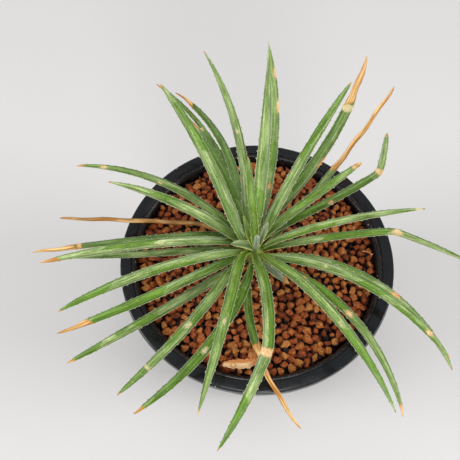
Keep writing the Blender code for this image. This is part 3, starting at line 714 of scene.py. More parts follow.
# Corky stem skin: straw-brown and matt, with darker grain up and down it, and green near the top
cork = new_material("corky_stem_skin")
place = add_node(cork, "TexCoord")["Object"]
grain_place = add_node(cork, "VectorMath", {0: place, 1: (1.0, 1.0, 0.25)}, operation="MULTIPLY")[0]
grain = add_node(cork, "TexNoise", {"Vector": grain_place, "Scale": 1.5 / MM, "Detail": 5,
                                    "Roughness": 0.65})["Fac"]
pale = add_node(cork, "MapRange", {0: grain, 1: 0.3, 2: 0.7})[0]
young = add_node(cork, "MapRange", {0: add_node(cork, "SeparateXYZ", {0: place})[2], 1: 100.5 * MM,
                                    2: 103.5 * MM}, interpolation_type="SMOOTHSTEP")[0]
cork_colour = linear(CORK_DARK)
for share, colour in ((pale, CORK_LIGHT), (young, STEM_GREEN)):
    cork_colour = add_node(cork, "Mix", {0: share, 6: cork_colour, 7: linear(colour)},
                           data_type="RGBA")[2]
cork_relief = add_node(cork, "Bump", {"Height": grain, "Strength": 0.8, "Distance": 0.3 * MM})[0]
finish_surface(cork, {"Base Color": cork_colour, "Roughness": 0.85, "Normal": cork_relief})
points, faces = closed_tube(stem_surface())
make_piece("leafy_stem", points, faces, cork, "stem", ["stem"])


# Leaves. Thirty-four stiff succulent blades that stand on the stem in a rosette, each channelled
# along its middle, with hooked spines down both margins and a needle at its tip. A blade is one
# closed surface on the CAD leaf's centre line, from margin to margin and back along the keel.
Leaf = namedtuple("Leaf", "name seat heading sweep rise fall length width kinks tip",
                  defaults=((), 0.65))
LEAVES = [
    Leaf("w_dead", 136, 163.5, -1.5, 10.5, 5, 90, 2.6, ((0.27, 19, 0),), 0.5),
    Leaf("se_stub", -52, -47, 6, 16, 2, 18, 4.0),
    Leaf("ne_dry", 34, 43.5, 12, 18, 12, 104, 3.0, (), 0.4),
    Leaf("s_dry", -104, -101.5, 52.5, 16, -16, 83, 3.4, (), 0.45),
    Leaf("w_dark", 130, 196, -5, 24, 4, 100, 3.4),
    Leaf("w_under", 172, 196, -14, 18, 2, 85, 3.4),
    Leaf("wsw", -132, -138, -12, 20, 0, 95, 4.4),
    Leaf("nw_dark", 114, 93.5, 53.5, 20, 14, 94, 2.6),
    Leaf("e_upper", -18, -3, -64, 20, -14, 103, 4.0),
    Leaf("n_curl", 135, 75, 75.5, 30, 16, 84, 4.0),
    Leaf("se_under", -45, -23, -56.5, 19, -14, 98, 4.0, (), 0.75),
    Leaf("nne_dry", 88, 31.5, 41.5, 25.5, 22, 105, 5.4, (), 0.6),
    Leaf("ne_broken", 57, 14.5, 18.5, 24, 10, 85, 3.8, ((0.77, 46, 8),), 0.35),
    Leaf("sw_under", -99, -100.5, -46.5, 22, -8, 93, 4.6),
    Leaf("sw", -145, -110, -32, 28, -14, 90, 4.4),
    Leaf("wnw_spot", 137, 136, 49, 28, 8, 90, 4.0),
    Leaf("n_behind", 85, 68, 32.5, 30, 24, 95, 5.0, (), 0.9),
    Leaf("e_bent", 6, -1, -3, 28, 4, 98, 3.8, ((0.62, -22, -10),), 0.7),
    Leaf("w_long", 158, 196, 0, 34, 2, 96, 4.4),
    Leaf("nnw_back", 120, 103, 37.5, 38.5, 19, 76, 3.6),
    Leaf("e_lower", -34, -12.5, -41, 30, -18, 98, 4.4),
    Leaf("wsw_long", -152, -138, -21, 28, -2, 95, 4.4),
    Leaf("n_tall", 118, 82.5, 44, 43, 29.5, 92, 4.2, (), 0.95),
    Leaf("ne", 60, 23, 8, 36, 20, 61, 4.4, (), 0.4),
    Leaf("wnw", 155, 155, 17, 38, 10, 72, 5.0, (), 0.9),
    Leaf("ene", 18, 3.5, 1.5, 40, 0, 77, 3.8, (), 0.85),
    Leaf("wsw_high", -160, -155, 0.5, 38, -12, 93, 4.7),
    Leaf("nne", 59, 57.5, -6.5, 44, 26, 85, 4.6),
    Leaf("se", -53, -48.5, -10.5, 44, -36, 99, 4.6, (), 0.95),
    Leaf("nnw", 155, 113.5, 17.5, 46, 24, 85, 5.4),
    Leaf("n_front", 95, 78, 12.5, 50, 30, 92, 5.6, (), 1.8),
    Leaf("s_left", -153, -96, -13.5, 45, -30, 87, 4.6, (), 0.95),
    Leaf("s", -94, -71.5, -42.5, 46, -36, 103, 4.8, ((0.56, -14, 0),), 0.8),
    Leaf("n_young", 90, 106, -8, 62, 56, 45, 3.4),
]

# How each blade has aged. Wax is the silvery share, and above 1 the blade is frosted white; shade
# is its darkness and youth the fresh green at its foot. It is dry from the share `dry`, narrowed to
# `shrink` there and turned by `twist`. A spot is (share, across, length, width, tone), from pale 0
# to rust 1; a bare band, where another leaf's print took the wax, is (from, to, side, slant), with
# side -1 or 1 for one half only.
Age = namedtuple("Age", "wax shade youth dry shrink twist spots bare",
                 defaults=(0.4, 0.0, 0.3, 0.985, 0.8, 0, (), ()))
AGES = {
    "w_dead": Age(0, 0, 0, -1, 1, 60),
    "se_stub": Age(1.8, 0, 0.1, 0.8, 1, 0),
    "ne_dry": Age(0.5, 0.1, 0.2, 0.482, 0.74, 25),
    "s_dry": Age(0.1, 0.6, 0.2, 0.52, 0.62, 20, ((0.53, 0, 1.6, 3, 0.9), (0.9, 0.4, 2.0, 1.0, 1.0))),
    "w_dark": Age(0.2, 0.7, 0, 0.815, 0.95, 15, ((0.8, 0, 1.2, 2.5, 0.7),)),
    "w_under": Age(0.6, 0.2, 0, 0.94, 0.8, 0),
    "wsw": Age(0.75, 0.1, 0, 0.965, 0.8, 0, (), ((0.56, 0.66, 0, -2), (0.72, 0.78, -1, 3), (0.84, 1, 0, 2))),
    "nw_dark": Age(0.3, 0.5, 0, 0.93, 0.8, 0, ((0.652, 0.3, 1.1, 0.9, 0.0),), ((0.3, 0.6, 0, 2),)),
    "e_upper": Age(0.75, 0, 0.2, 0.985, 0.9, 0, ((0.62, 0, 2.8, 2.2, 0.75), (0.865, 0.1, 2.4, 1.4, 0.35)),
                   ((0.3, 0.5, 1, 3), (0.68, 0.9, 1, 2))),
    "n_curl": Age(0.1, 0.7, 0, 0.878, 0.8, 60),
    "se_under": Age(0.5, 0.1, 0.2, 0.945, 0.8, 0,
                    ((0.508, 0, 2.2, 1.4, 0.5), (0.24, 0.3, 1.2, 0.8, 0.7)), ((0.1, 0.48, 0, 1),)),
    "nne_dry": Age(0.6, 0.3, 0.1, 0.765, 0.78, 20,
                   ((0.745, 0.3, 2.2, 4, 0.15), (0.47, -0.9, 3.6, 0.8, 0.7)), ((0.2, 0.74, 1, 4),)),
    "ne_broken": Age(0.8, 0.1, 0.2, 0.98, 1, 0,
                     ((0.463, -0.4, 1.7, 1.1, 0.55), (0.775, 0, 1.4, 6, 0.5)), ((0.2, 0.72, 0, 0),)),
    "sw_under": Age(0.3, 0.1, 0, 0.948, 0.8, 0, ((0.583, 0, 2.0, 1.2, 0.1), (0.5, 0.2, 1.5, 0.9, 0.05)),
                    ((0.2, 0.9, 0, 2),)),
    "sw": Age(0.6, 0, 0.1, 0.985, 0.9, 0, ((0.545, 0, 1.8, 1.3, 0.15), (0.818, 0, 0.8, 2.0, 0.0)),
              ((0.44, 0.52, 1, 2), (0.83, 1, -1, 3), (0.6, 0.72, -1, 4))),
    "wnw_spot": Age(0.45, 0.1, 0, 0.965, 0.8, 0, ((0.568, 0.2, 1.4, 0.9, 0.3), (0.865, 0, 1.8, 1.2, 0.35))),
    "n_behind": Age(0.5, 0, 0.2, 0.985, 0.9, 0,
                    ((0.292, -0.4, 1.8, 1.1, 0.5), (0.86, -0.6, 3.0, 1.3, 0.5),
                     (0.69, -0.9, 3.6, 1.6, 0.35)),
                    ((0.37, 0.52, 0, 1),)),
    "e_bent": Age(1.0, 0, 0.1, 0.985, 0.9, 0, ((0.635, 0, 2.5, 1.8, 0.35),), ((0.3, 0.6, 0, 3),)),
    "w_long": Age(0.85, 0, 0.1, 0.92, 0.8, 0, ((0.458, 0, 1.6, 0.9, 0.0),), ((0.5, 0.75, -1, 5),)),
    "nnw_back": Age(0.4, 0.35, 0, 0.77, 0.8, 20, (), ((0.3, 0.76, 0, 2),)),
    "e_lower": Age(0.7, 0, 0.1, 0.985, 0.8, 0, ((0.865, 0.1, 1.9, 1.1, 0.5), (0.33, 0.2, 1.2, 0.8, 0.1)),
                   ((0.5, 0.62, 0, 3), (0.7, 0.95, -1, 3))),
    "wsw_long": Age(0.5, 0, 0.1, 0.85, 0.8, 10, (), ((0.5, 0.85, 0, 3), (0.1, 0.35, -1, 3))),
    "n_tall": Age(0.7, 0, 0.1, 0.98, 0.9, 0, ((0.578, 0, 1.3, 0.8, 0.0),)),
    "ne": Age(0.5, 0, 0.3, 0.955, 1, 0, ((0.94, 0, 1.2, 1.8, 0.5),), ((0.4, 0.8, 1, 2),)),
    "wnw": Age(0.7, 0, 0.1, 0.985, 0.9, 0, (), ((0.62, 0.75, -1, 5),)),
    "ene": Age(0.75, 0, 0.4, 0.985, 0.8, 0, ((0.97, 0, 1.8, 1.2, 0),), ((0.2, 0.5, -1, 2),)),
    "wsw_high": Age(0.65, 0, 0.2, 0.985, 0.9, 0, (), ((0.3, 0.55, 1, 4), (0.75, 0.97, 0, 3))),
    "nne": Age(0.6, 0, 0.2, 0.985, 0.9, 0, (), ((0.5, 0.9, 1, 4), (0.1, 0.2, 0, 1))),
    "se": Age(0.5, 0, 0.5, 0.985, 0.8, 0, ((0.578, 0, 1.5, 0.7, 0.0),), ((0.6, 0.95, 0, 2),)),
    "nnw": Age(0.7, 0, 0.3, 0.985, 0.9, 0, (), ((0.0, 0.42, 1, 8), (0.6, 0.9, -1, 3))),
    "n_front": Age(0.6, 0, 0.4, 0.985, 0.9, 0, ((0.95, 0.3, 1.4, 0.6, 0.5),), ((0.0, 0.29, 0, 1.5),)),
    "s_left": Age(0.4, 0, 0.6, 0.973, 0.8, 0, ((0.555, 0, 1.6, 0.9, 0.1),), ((0.0, 0.5, 1, 3),)),
    "s": Age(0.7, 0, 0.3, 0.985, 0.8, 0, ((0.58, 0, 1.9, 9, 0.5),),
             ((0.12, 0.56, 1, 2), (0.77, 1, 0, 2))),
    "n_young": Age(0.2, 0, 0.9, 0.985, 0.9, 0),
    "w_round": Age(1.3, 0, 0.5),
    "nw_narrow": Age(0.3, 0, 0.8),
    "ne_silver": Age(1.6, 0, 0.2),
    "n_small": Age(0.3, 0, 0.8),
    "youngest": Age(2, 0, 0, 2),
}
BLADE_THICKNESS = 0.95
THINNING = 0.3
CHANNEL = 0.3
BASE_SHARE = 0.42
BASE_SPREAD = 2.8
TIP_POWER = 4.5
TIP_HALF_WIDTH = 0.12
SEAT_TURN_LENGTH = 6
KINK_SPREAD = 0.012
DRYING_LENGTH = 5
LEAN = 0.9
LEAN_PITCH = 7
LEAN_EASE = 6
SWAY = 9
SPINE_FIRST = 7
SPINE_LAST_GAP = 2.5
SPINE_PITCH = 3.7
SPINE_SHIFT = 0.9
SPINE_HALF_BASE = 0.5
SPINE_HEIGHT = 0.75
SPINE_SIZES = (0.35, 1.15)
SPINES_LOST = 0.08
SPINE_HOOK = 0.6
SPINE_SPREAD = np.array([-1, -0.55, -0.22, 0, 0.22, 0.55, 1]) * SPINE_HALF_BASE
STATION_PITCH = 1.5
SECTION_POINTS = 18
PATH_STEPS = 400
STEM_GAP = 0.35
OUTSIDE = -9.0


def leaf_directions(leaf, share):
    """Heading and slope along a leaf, in radians.

    Both change evenly from base to tip. The base leaves the stem square to it and turns to the
    heading as exp(-place / 6 mm), and a kink is a further turn along an S curve.
    """
    leaving = (leaf.seat - leaf.heading + 180) % 360 - 180
    heading = (leaf.heading + leaf.sweep * share
               + leaving * np.exp(-share * leaf.length / SEAT_TURN_LENGTH))
    slope = leaf.rise + (leaf.fall - leaf.rise) * share
    for place, turn, lift in leaf.kinks:
        past = 1 / (1 + np.exp((place - share) / KINK_SPREAD))
        heading = heading + turn * past
        slope = slope + lift * past
    return np.radians(heading), np.radians(slope)


def leaf_line(leaf, base, share):
    """Centre, tangent, side and upper direction: the centre is the sum of the tangents so far."""
    steps = np.linspace(0, 1, PATH_STEPS + 1)
    along = direction(*leaf_directions(leaf, steps))
    moves = (along[1:] + along[:-1]) / 2 * leaf.length / PATH_STEPS
    path = np.concatenate([np.zeros((1, 3)), np.cumsum(moves, 0)]) + base
    centre = np.stack([np.interp(share, steps, path[:, axis]) for axis in range(3)], -1)
    heading, slope = leaf_directions(leaf, share)
    tangent = direction(heading, slope)
    side = level_side(heading)
    return centre, tangent, side, np.cross(tangent, side)


def smooth_step(value):
    """3 v^2 - 2 v^3, with v held between 0 and 1."""
    v = np.clip(value, 0, 1)
    return v * v * (3 - 2 * v)


def blade(leaf, age, base, draw):
    """Grid of a leaf's surface with its fields, over the place along and the angle a of the section.

    Across is half_width cos a. The middle surface is a channel, (2 |cos a|^1.7 - 1) high, and the
    blade's thickness goes as |sin a|^0.8 on either side. A spine draws the margin out by
    (1 - distance / half base)^1.4 and along by the square of that. The grid leans to and fro, so
    that the spines of the two margins don't stand in pairs.
    """
    spines = np.array([4.0])
    if leaf.length > 12:
        spines = np.arange(SPINE_FIRST, leaf.length - SPINE_LAST_GAP, SPINE_PITCH)
    spines = spines + draw.uniform(-SPINE_SHIFT, SPINE_SHIFT, len(spines))
    plain = np.linspace(0, leaf.length, round(leaf.length / STATION_PITCH) + 2)
    clear = np.abs(plain[:, None] - spines).min(1) > SPINE_HALF_BASE + 0.25
    at_spines = (spines[:, None] + SPINE_SPREAD).ravel()
    row = np.sort(np.concatenate([plain[clear], at_spines, [0, leaf.length]]))
    row = row[np.concatenate([[True], np.diff(row) > 0.02])]
    row = row[(row >= 0) & (row <= leaf.length)][:, None]
    c = np.cos(ring_angles(SECTION_POINTS))
    s = np.sin(ring_angles(SECTION_POINTS))
    ends = smooth_step(row / LEAN_EASE) * smooth_step((leaf.length - row) / LEAN_EASE)
    lean = LEAN * np.sin(row / LEAN_PITCH + draw.uniform(0, 6)) * ends
    along = np.clip(row + lean * c, 0, leaf.length)
    share = along / leaf.length
    dry_place = along - age.dry * leaf.length
    dried = smooth_step(dry_place / DRYING_LENGTH)
    half = (leaf.width / 2 * np.minimum(BASE_SHARE + BASE_SPREAD * share, 1)
            * np.clip(1 - share ** TIP_POWER, 0, 1) ** leaf.tip)
    half = half * (1 - (1 - age.shrink) * dried)
    wobble = (0.02 + 0.06 * dried) * np.sin(along / 2.7 + draw.uniform(0, 6)) + 0.015 * np.sin(along / 1.1)
    half = half * (1 + wobble) + TIP_HALF_WIDTH
    height = draw.uniform(*SPINE_SIZES, (2, len(spines)))
    height = height * (draw.uniform(0, 1, (2, len(spines))) > SPINES_LOST)
    shape = np.clip(1 - np.abs(row - spines) / SPINE_HALF_BASE, 0, 1) ** 1.4
    reach = np.where(c > 0, shape @ height[0][:, None], shape @ height[1][:, None])
    reach = reach * np.clip((np.abs(c) - 0.85) / 0.15, 0, 1) ** 1.5 * (1 - 0.45 * share) * (1 - 0.6 * dried)
    channel = CHANNEL * half * (1 - THINNING * share) * (1 + 0.9 * dried)
    middle = channel * (2 * np.abs(c) ** 1.7 - 1)
    thick = BLADE_THICKNESS / 2 * (1 - THINNING * share) * (1 - 0.35 * dried)
    up_place = middle + thick * np.sign(s) * np.abs(s) ** 0.8
    side_place = c * half + np.sign(c) * reach * SPINE_HEIGHT + 0.3 * dried * np.sin(along / 3.3)
    turn = np.radians(draw.uniform(-SWAY, SWAY) * share
                      + age.twist * np.clip(dry_place, 0, None) / leaf.length)
    centre, tangent, side, up = leaf_line(leaf, base, share)
    turned_side = side * np.cos(turn)[..., None] + up * np.sin(turn)[..., None]
    turned_up = up * np.cos(turn)[..., None] - side * np.sin(turn)[..., None]
    points = (centre + turned_side * side_place[..., None] + turned_up * up_place[..., None]
              + tangent * (SPINE_HOOK * reach ** 2)[..., None])
    bare = np.full_like(along, OUTSIDE)
    for first, last, half_kept, slant in age.bare:
        zone = np.minimum(along - first * leaf.length - slant * c, last * leaf.length + slant * c - along)
        if half_kept:
            zone = np.minimum(zone, half_kept * c * half)
        bare = np.maximum(bare, zone)
    scar = np.full_like(along, OUTSIDE)
    rust = np.zeros_like(along)
    for spot, across, length, width, tone in age.spots:
        off = np.hypot((along - spot * leaf.length) / length, (c * half - across * leaf.width / 2) / width)
        inside = (1 - off) * min(length, width)
        rust = np.where(inside > scar, tone, rust)
        scar = np.maximum(scar, inside)
    under = np.broadcast_to((s < -0.01).astype(float), along.shape)
    seed = draw.uniform(0, 500) + 40 * under
    fresh = age.youth * np.exp(-along / (0.22 * leaf.length + 4))
    fields = [c * half, along, seed, dry_place + 0.8 * c * half, bare, scar, under, reach, fresh,
              np.broadcast_to(np.abs(c), along.shape), rust, np.full_like(along, age.wax),
              np.full_like(along, age.shade)]
    return np.concatenate([points, np.stack(fields, -1)], -1)


def add_blade(name, grids, material, slot, nodes):
    """One piece from one or more blade grids, with their fields as attributes."""
    points, faces = joined_tubes(grids)
    make_piece(name, points, faces, material, slot, nodes, blade_place=points[:, 3:6],
               blade_zone=points[:, 6:9], blade_habit=points[:, 9:12], blade_edge=points[:, 12],
               blade_rust=points[:, 13], blade_wax=points[:, 14], blade_shade=points[:, 15])


# Succulent leaf skin: hard, satin green under a silvery bloom of fine scales that lie in lines
# along the blade. The bloom is gone where another leaf lay, so its edge is sharp. Old wounds are
# corky and cream to rust, the margin is pale, and a dead tip is tan with brown fibres. Painted
# shade darkens the blade towards both margins and in the middle of its channel near the foot.
GREEN_DEEP = "#29470f"
GREEN_MIDDLE = "#6f972c"
GREEN_FRESH = "#94b830"
BLOOM = "#b7c28c"
BLOOM_UNDER = "#8f9e72"
MARGIN_STRAW = "#dde0b4"
BASE_YELLOW = "#c6cf6e"
FROST = "#bcc2b4"
SCALE_WHITE = "#e8ecde"
WOUND_PALE = "#e9dfae"
WOUND_RUST = "#de8b38"
WOUND_RIM = "#8a5a22"
DEAD_TAN = "#f9d28e"
DEAD_BROWN = "#b5751e"
DEAD_DARK = "#6a3e16"
SPINE_PALE = "#e4dec2"
SPINE_BROWN = "#a88458"


def blade_material(name, dead):
    """The skin's nodes; `dead` gives the dry tissue all over, for the one leaf that has died.

    Its patterns are counts in a millimetre, across, along and by leaf: lines of wax 0.6 mm apart
    and 14 mm long, patches of 2 by 8 mm, ragged edges of 0.7 mm, a fine grain of 0.4 by 1.2 mm and
    white scales 1.6 mm apart. Each share goes between its last two numbers, or from 0 to 1, as its
    source goes between the two before, and the colours are laid over one another by their shares.
    """
    skin = new_material(name)
    place, zone, habit, edge, rust, wax, shade = (
        add_node(skin, "Attribute", attribute_name="blade_" + field)[kind] for field, kind in (
            ("place", "Vector"), ("zone", "Vector"), ("habit", "Vector"), ("edge", "Fac"),
            ("rust", "Fac"), ("wax", "Fac"), ("shade", "Fac")))
    along = add_node(skin, "SeparateXYZ", {0: place})[1]
    dry, bare, scar = add_node(skin, "SeparateXYZ", {0: zone})
    under, spine, fresh = add_node(skin, "SeparateXYZ", {0: habit})
    lines, patches, ragged, fine = (
        add_node(skin, "TexNoise", {
            "Vector": add_node(skin, "VectorMath", {0: place, 1: counts}, operation="MULTIPLY")[0],
            "Scale": 1.0, "Detail": detail, "Roughness": roughness})["Fac"]
        for counts, detail, roughness in (
            ((1.6, 0.07, 1.0), 3, 0.6), ((0.55, 0.13, 1.0), 4, 0.6),
            ((1.4, 1.4, 1.4), 4, 0.7), ((2.4, 0.8, 1.0), 4, 0.7)))
    scales = add_node(skin, "TexVoronoi", {"Vector": place, "Scale": 0.62})["Distance"]
    wander = add_node(skin, "MapRange", {0: ragged, 1: 0.25, 2: 0.75, 3: -0.8, 4: 0.8})[0]
    bare_edge, dry_edge = (
        add_node(skin, "Math", {0: where, 1: wander}, operation="ADD")[0] for where in (bare, dry))
    wound_edge = add_node(skin, "Math", {0: wander, 1: 0.9, 2: scar}, operation="MULTIPLY_ADD")[0]
    off_edge = add_node(skin, "Math", {0: wound_edge}, operation="ABSOLUTE")[0]

    burnt = (patches, 0.4, 0.65, 0.35, 0.9) if dead else (dry_edge, 2.2, 0.2, 0.0, 0.6)
    shares = {}
    for curve, rows in (
            ("LINEAR", (
                ("green", patches, 0.3, 0.7, 0.45, 1.0),
                ("shaded", shade, 0.0, 1.0, 0.0, 0.65),
                ("waxy_patch", patches, 0.36, 0.62, 0.35, 1.1),
                ("waxy_line", lines, 0.36, 0.6, 0.3, 1.0),
                ("waxy_place", along, 6.0, 30.0, 0.45, 1.0),
                ("underside", lines, 0.35, 0.6, 0.2, 0.8),
                ("frost", wax, 1.0, 2.0, 0.0, 0.75),
                ("streaks", lines, 0.35, 0.65, 0.68, 1.3),
                ("grain", fine, 0.3, 0.7, 0.72, 1.3),
                # Painted shade: this row's patches set how dark the painted shade towards the margins is.
                ("painted_edge_shade_patch", patches, 0.35, 0.6, 0.3, 0.75),
                ("scales", scales, 0.13, 0.08, 0.0, 0.6),
                ("margin", edge, 0.88, 0.96, 0.0, 0.5),
                # Painted shade: deep green in the middle of the channel, near the foot.
                ("painted_channel_shade", edge, 0.85, 0.3, 0.0, 0.5),
                ("foot", edge, 0.72, 0.94, 0.0, 0.9),
                ("wound_rim", off_edge, 0.35, 0.1, 0.0, 0.6),
                ("wound_grain", fine, 0.35, 0.65, -0.45, 0.45),
                ("wound_cover", rust, 0.0, 0.4, 0.7, 1.0),
                ("dead_fibres", lines, 0.4, 0.58, 0.0, 0.95),
                ("dead_border", edge, 0.8, 1.0, 0.0, 0.7),
                ("burnt", *burnt),
                ("spine", spine, 0.3, 0.6),
                ("spine_tip", spine, 0.5, 0.9))),
            ("SMOOTHSTEP", (
                ("kept", bare_edge, 0.2, -0.2, 0.08, 1.0),
                # Painted shade: deep green towards both margins.
                ("painted_edge_shade", edge, 0.55, 0.8),
                # Painted shade: how near the foot the channel is darkened.
                ("painted_channel_shade_place", along, 24.0, 5.0),
                ("foot_place", along, 15.0, 3.0),
                ("wound", wound_edge, -0.3, 0.45),
                ("dead", dry_edge, -0.3, 0.4)))):
        for share, *values in rows:
            shares[share] = add_node(skin, "MapRange", dict(enumerate(values)), interpolation_type=curve)[0]
    for share, factor in (("underside", under), ("frost", shares["kept"]), ("grain", shares["streaks"]),
                          ("painted_edge_shade", shares["painted_edge_shade_patch"]), ("painted_channel_shade", shares["painted_channel_shade_place"]),
                          ("foot", shares["foot_place"]), ("wound_rim", rust),
                          ("wound_cover", shares["wound"])):
        shares[share] = add_node(skin, "Math", {0: shares[share], 1: factor}, operation="MULTIPLY")[0]
    bloom = wax
    for share in ("waxy_patch", "waxy_line", "kept", "waxy_place"):
        bloom = add_node(skin, "Math", {0: bloom, 1: shares[share]}, operation="MULTIPLY",
                         use_clamp=share == "kept")[0]
    rusty = add_node(skin, "Math", {0: rust, 1: shares["wound_grain"]}, operation="ADD", use_clamp=True)[0]
    dead_share = 1.0 if dead else shares["dead"]

    tissues = []
    for tissue, layers in (
            (GREEN_DEEP, ((shares["green"], GREEN_MIDDLE), (fresh, GREEN_FRESH),
                          (shares["shaded"], GREEN_DEEP), (bloom, BLOOM),
                          (shares["underside"], BLOOM_UNDER), (shares["frost"], FROST))),
            (WOUND_PALE, ((rusty, WOUND_RUST), (shares["wound_rim"], WOUND_RIM))),
            (DEAD_TAN, ((shares["dead_fibres"], DEAD_BROWN), (shares["dead_border"], DEAD_DARK),
                        (shares["burnt"], WOUND_RIM if dead else DEAD_BROWN))),
            (SPINE_PALE, ((shares["spine_tip"], SPINE_BROWN),))):
        tissue = linear(tissue)
        for share, colour in layers:
            tissue = add_node(skin, "Mix", {0: share, 6: tissue, 7: linear(colour)}, data_type="RGBA")[2]
        tissues.append(tissue)
    green, wound_colour, dead_colour, spine_colour = tissues
    coloured = add_node(skin, "Mix", {0: 1.0, 6: green, 7: shares["grain"]}, data_type="RGBA",
                        blend_type="MULTIPLY")[2]
    for share, colour in (
            # Painted shade: deep green laid towards both margins.
            (shares["painted_edge_shade"], linear(GREEN_DEEP)), (shares["scales"], linear(SCALE_WHITE)),
            # Painted shade: deep green laid in the channel near the foot.
            (shares["margin"], linear(MARGIN_STRAW)), (shares["painted_channel_shade"], linear(GREEN_DEEP)),
            (shares["foot"], linear(BASE_YELLOW)), (shares["wound_cover"], wound_colour),
            (dead_share, dead_colour), (shares["spine"], spine_colour)):
        coloured = add_node(skin, "Mix", {0: share, 6: coloured, 7: colour}, data_type="RGBA")[2]

    matt = bloom
    for share in (shares["wound"], dead_share):
        matt = add_node(skin, "Math", {0: matt, 1: share}, operation="MAXIMUM")[0]
    roughness = add_node(skin, "MapRange", {0: matt, 3: 0.26, 4: 0.5})[0]
    height = shares["wound"]
    for pattern in (lines, fine):
        height = add_node(skin, "Math", {0: pattern, 1: 0.6, 2: height}, operation="MULTIPLY_ADD")[0]
    relief = add_node(skin, "Bump", {"Height": height, "Strength": 0.6, "Distance": 0.22 * MM})[0]
    finish_surface(skin, {"Base Color": coloured, "Roughness": roughness, "Normal": relief, "IOR": 1.45})
    return skin


def on_stem(height, reach, seat):
    """The point at this height that is `reach` from the stem's axis, at the seat's angle."""
    angle = math.radians(seat)
    return stem_axis(height) + reach * np.array([math.cos(angle), math.sin(angle), 0])


leaf_skin = blade_material("succulent_leaf_skin", False)
dead_skin = blade_material("dead_leaf_tissue", True)
draw = np.random.default_rng(5)
for rank, leaf in enumerate(LEAVES):
    height = seat_height(rank)
    reach = stem_radius(height) + STEM_GAP + 0.5 * math.sin(math.radians(leaf.rise))
    grid = blade(leaf, AGES[leaf.name], on_stem(height, reach, leaf.seat), draw)
    skin, slot = (dead_skin, "dead_leaf") if leaf.name == "w_dead" else (leaf_skin, "leaf")
    add_blade("blade_" + leaf.name, [grid], skin, slot, ["leaf_" + leaf.name])


# Heart. The growing point with the five youngest leaves, which still stand together: small fresh
# or silvery blades made as the others are, grown from a rounded core.
HEART_LEAVES = [
    Leaf("w_round", 168, 177, 8, 50, -10, 12, 4.0),
    Leaf("nw_narrow", 150, 125, -15, 66, 60, 20, 2.2),
    Leaf("ne_silver", 46, 55, 6, 60, 50, 15, 2.8),
    Leaf("n_small", 130, 105, -20, 76, 74, 23, 2.2),
    Leaf("youngest", -95, -95, 0, 110, 114, 9.5, 2.8, (), 0.12),
]
HEART_STEP = 0.4
HEART_TOP = 111.5
HEART_SEAT = 0.7
HEART_LOWEST = 0.35
HEART_RISE = 0.1
CORE_RADIUS = 1.7
CORE_NARROWING = 0.2
CORE_YOUTH = 0.9
heart_low = stem_top + HEART_STEP


def core_grid():
    """The core: level rings of radius R sqrt(1 - v^4) less a narrowing, v being the share up it."""
    v = np.linspace(0, 0.98, 14)[:, None]
    angle = ring_angles(SECTION_POINTS)
    centre = stem_axis(heart_low)[None] + (stem_axis(HEART_TOP) - stem_axis(heart_low))[None] * v
    radius = CORE_RADIUS * np.sqrt(1 - v ** 4) - CORE_NARROWING * (1 - v)
    points = level_rings(radius, angle, centre[:, 2:], centre[:, :1], centre[:, 1:2])
    fields = np.zeros((*points.shape[:2], 13))
    fields[..., 0] = angle
    fields[..., 1] = 3 * v
    fields[..., 3:6] = OUTSIDE
    fields[..., 8] = CORE_YOUTH
    return np.concatenate([points, fields], -1)


heart_grids = [core_grid()]
for step, leaf in enumerate(HEART_LEAVES):
    height = heart_low + (HEART_TOP - heart_low) * (HEART_LOWEST + HEART_RISE * step)
    base = on_stem(height, HEART_SEAT, leaf.seat)
    heart_grids.append(blade(leaf, AGES[leaf.name], base, draw))
add_blade("young_heart", heart_grids, leaf_skin, "leaf", ["heart"])


# Floor, light and camera. A flat floor of pale matt paper, a large soft light at either side,
# weaker ones above and in front, and an even sky. The camera was fitted to the photograph, by the
# pot's lip.
CAMERA_PLACE = (-12.8, -135.5, 382.6)
CAMERA_TILT = 27.97
CAMERA_LENS = 51.47
SENSOR_WIDTH = 36
FLOOR_HALF_SIZE = 1500
FLOOR_PALE = "#dcdad8"
FLOOR_SHADED = "#d6d4d2"
SKY_WHITE = "#f4f6fa"
SKY_STRENGTH = 0.48
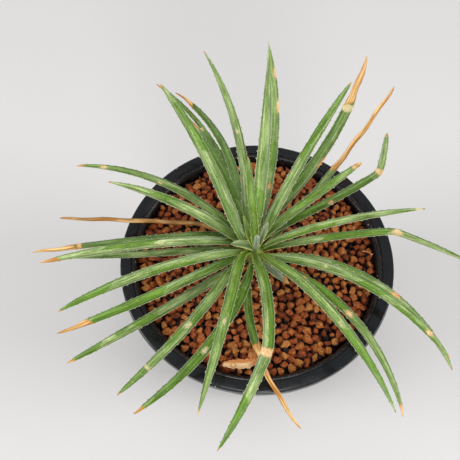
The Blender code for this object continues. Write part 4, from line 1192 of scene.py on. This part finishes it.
# Each soft light's place and size in metres, and its power in watts
SOFTBOXES = {
    "right_softbox": ((1.5, -0.3, 0.9), 0.8, 16.0),
    "left_softbox": ((-1.5, -0.3, 0.9), 0.8, 15.5),
    "top_softbox": ((0.0, -0.2, 1.1), 0.4, 2.2),
    "front_softbox": ((0.1, -1.2, 0.6), 0.3, 4.5),
}
paper = new_material("matt_studio_paper")
place = add_node(paper, "TexCoord")["Object"]
cloud = add_node(paper, "TexNoise", {"Vector": place, "Scale": 0.006 / MM, "Detail": 3})["Fac"]
paper_colour = add_node(paper, "Mix", {0: cloud, 6: linear(FLOOR_SHADED), 7: linear(FLOOR_PALE)},
                        data_type="RGBA")[2]
finish_surface(paper, {"Base Color": paper_colour, "Roughness": 0.9})
floor_mesh = bpy.data.meshes.new("studio_floor")
half = FLOOR_HALF_SIZE * MM
corners = [(-half, -half, 0), (half, -half, 0), (half, half, 0), (-half, half, 0)]
floor_mesh.from_pydata(corners, [], [(0, 1, 2, 3)])
floor_mesh.materials.append(paper)
floor = bpy.data.objects.new("studio_floor", floor_mesh)
bpy.context.collection.objects.link(floor)

scene = bpy.context.scene
scene.view_settings.view_transform = "Standard"
world = bpy.data.worlds.new("studio_air")
world.use_nodes = True
sky = world.node_tree.nodes["Background"].inputs
sky["Color"].default_value = linear(SKY_WHITE)
sky["Strength"].default_value = SKY_STRENGTH
scene.world = world
for name, (place, size, power) in SOFTBOXES.items():
    lamp = bpy.data.lights.new(name, "AREA")
    lamp.size = size
    lamp.energy = power
    light = bpy.data.objects.new(name, lamp)
    light.location = place
    light.rotation_euler = (-light.location).to_track_quat("-Z", "Y").to_euler()
    bpy.context.collection.objects.link(light)
lens = bpy.data.cameras.new("photo_camera")
lens.lens = CAMERA_LENS
lens.sensor_width = SENSOR_WIDTH
lens.clip_start = 10 * MM
camera = bpy.data.objects.new("photo_camera", lens)
camera.location = [value * MM for value in CAMERA_PLACE]
camera.rotation_euler = (math.radians(CAMERA_TILT), 0, 0)
bpy.context.collection.objects.link(camera)
scene.camera = camera
